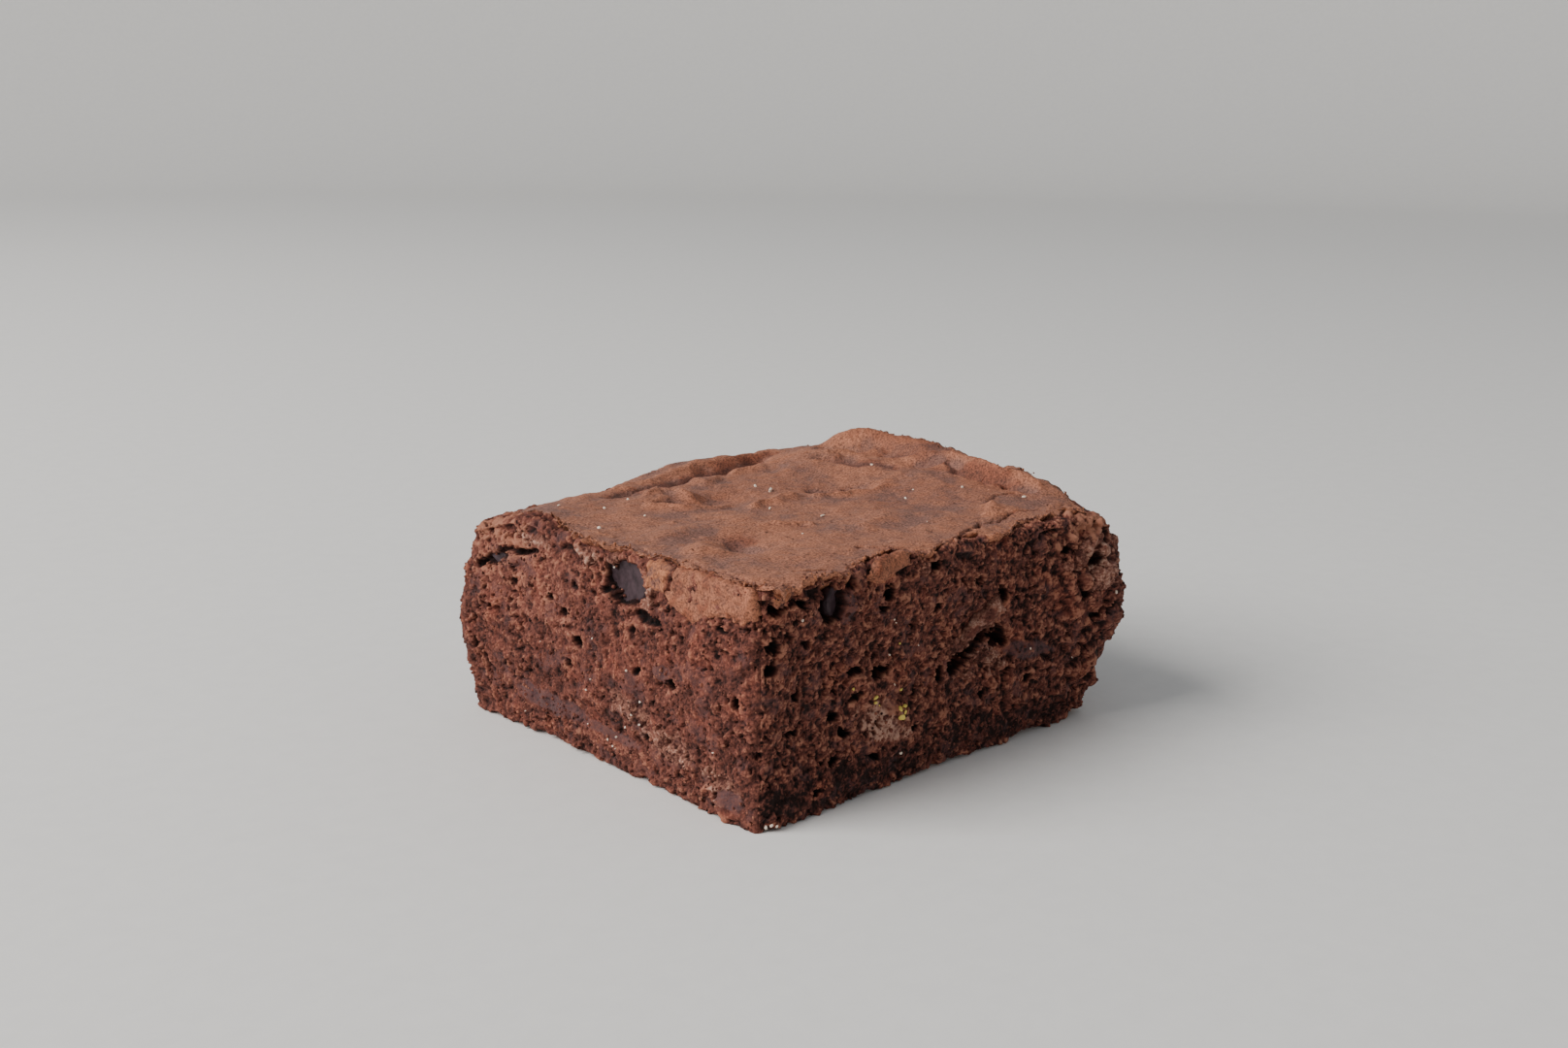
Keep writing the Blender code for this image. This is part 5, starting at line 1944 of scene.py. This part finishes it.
def make_floor(context):
    """A round floor that sweeps up into a low wall."""
    bm = bmesh.new()
    profile = [(0.0, 0.0), (FLOOR_MIDDLE, 0.0), (FLOOR_RADIUS, 0.0)]
    for angle in np.linspace(0.1, math.pi / 2, 10):
        profile.append((FLOOR_RADIUS + SWEEP * math.sin(angle), SWEEP * (1 - math.cos(angle))))
    profile.append((FLOOR_RADIUS + SWEEP, SWEEP + WALL))
    verts = [bm.verts.new((radius, 0.0, height)) for radius, height in profile]
    edges = [bm.edges.new(pair) for pair in zip(verts, verts[1:])]
    bmesh.ops.spin(
        bm, geom=verts + edges, axis=(0.0, 0.0, 1.0), cent=(0.0, 0.0, 0.0), angle=2.0 * math.pi,
        steps=FLOOR_STEPS, use_merge=True,
    )
    bmesh.ops.remove_doubles(bm, verts=bm.verts, dist=1e-5)
    bmesh.ops.recalc_face_normals(bm, faces=bm.faces)
    if sum(face.normal.z for face in bm.faces) < 0.0:
        bmesh.ops.reverse_faces(bm, faces=bm.faces)
    mesh = bpy.data.meshes.new("studio_floor")
    bm.to_mesh(mesh)
    bm.free()
    mesh.shade_smooth()
    colour = context.scene.brownie_stage.floor
    mesh.materials.append(plain_finish("studio_floor", colour, 0.8, 0.05, 0.004, 0.97, 0.05))
    floor = bpy.data.objects.new("studio_floor", mesh)
    context.scene.collection.objects.link(floor)


# The lights, in metres
WINDOW_PLACE = (-1.09, 0.46, 0.92)
WINDOW_TARGET = (0.0, 0.0, 0.015)
WINDOW_SIZE = 0.97
WINDOW_COLOUR = (1.0, 0.97, 0.94)
ROOM_COLOUR = (0.9, 0.95, 1.0, 1.0)


def make_lights(context):
    """A large window light from the left, and soft light from all round."""
    settings = context.scene.brownie_stage
    world = bpy.data.worlds.new("studio")
    world.use_nodes = True
    background = world.node_tree.nodes["Background"].inputs
    background["Color"].default_value = ROOM_COLOUR
    background["Strength"].default_value = settings.fill
    context.scene.world = world
    lamp = bpy.data.lights.new("window", "AREA")
    lamp.energy = settings.key
    lamp.size = WINDOW_SIZE
    lamp.color = WINDOW_COLOUR
    light = bpy.data.objects.new("window", lamp)
    light.location = WINDOW_PLACE
    light.rotation_euler = (Vector(WINDOW_TARGET) - Vector(WINDOW_PLACE)).to_track_quat("-Z", "Y").to_euler()
    context.scene.collection.objects.link(light)


# The camera: its place and film in millimetres, and its angles in degrees
CAMERA_PLACE = (-176.19, -183.04, 91.64)
CAMERA_AZIMUTH = -43.54
CAMERA_ELEVATION = 13.84
CAMERA_ROLL = -0.83
LENS = 40.1
FILM = 36.0
NEAREST = 0.01


def make_camera(context):
    """The camera, a hand's breadth above the floor and looking at the near corner."""
    azimuth, elevation = math.radians(CAMERA_AZIMUTH), math.radians(CAMERA_ELEVATION)
    level = math.cos(elevation)
    back = Vector((math.sin(azimuth) * level, -math.cos(azimuth) * level, math.sin(elevation)))
    roll = Matrix.Rotation(math.radians(-CAMERA_ROLL), 3, "Z")
    turn = back.to_track_quat("Z", "Y").to_matrix() @ roll
    camera = bpy.data.objects.new("camera", bpy.data.cameras.new("camera"))
    camera.data.lens = LENS
    camera.data.sensor_width = FILM
    camera.data.clip_start = NEAREST
    camera.matrix_world = Matrix.Translation(Vector(CAMERA_PLACE) * MM) @ turn.to_4x4()
    context.scene.collection.objects.link(camera)
    context.scene.camera = camera


OPERATORS = (
    BROWNIE_OT_crumb,
    BROWNIE_OT_crust,
    BROWNIE_OT_flakes,
    BROWNIE_OT_melted_chocolate,
    BROWNIE_OT_granules,
    BROWNIE_OT_crust_crumbs,
    BROWNIE_OT_lumps,
    BROWNIE_OT_sugar,
    BROWNIE_OT_flecks,
    BROWNIE_OT_stage,
)


SETTINGS = {
    "brownie_crumb": BrownieCrumb,
    "brownie_crust": BrownieCrust,
    "brownie_small": BrownieSmall,
    "brownie_stage": BrownieStage,
}


class BROWNIE_PT_panel(bpy.types.Panel):
    """Lists the brownie's pieces and their settings"""

    bl_idname = "BROWNIE_PT_panel"
    bl_label = "Chocolate brownie"
    bl_space_type = "VIEW_3D"
    bl_region_type = "UI"
    bl_category = "Brownie"

    def draw(self, context):
        for operator in OPERATORS:
            self.layout.operator(operator.bl_idname)
        for group in SETTINGS:
            settings = getattr(context.scene, group)
            box = self.layout.box()
            for name in settings.bl_rna.properties.keys():
                if name not in ("rna_type", "name"):
                    box.prop(settings, name)


CLASSES = (*SETTINGS.values(), *OPERATORS, BROWNIE_PT_panel)


def register():
    """Add the classes, and the settings to every scene."""
    for item in CLASSES:
        bpy.utils.register_class(item)
    for name, group in SETTINGS.items():
        setattr(bpy.types.Scene, name, PointerProperty(type=group))


def unregister():
    """Take the settings and the classes away again."""
    for name in SETTINGS:
        delattr(bpy.types.Scene, name)
    for item in reversed(CLASSES):
        bpy.utils.unregister_class(item)


def main():
    """Make every piece in order and the stage."""
    register()
    bpy.ops.brownie.crumb()
    bpy.ops.brownie.crust()
    bpy.ops.brownie.flakes()
    bpy.ops.brownie.melted_chocolate()
    bpy.ops.brownie.granules()
    bpy.ops.brownie.crust_crumbs()
    bpy.ops.brownie.lumps()
    bpy.ops.brownie.sugar()
    bpy.ops.brownie.flecks()
    bpy.ops.brownie.stage()


if __name__ == "__main__":
    main()
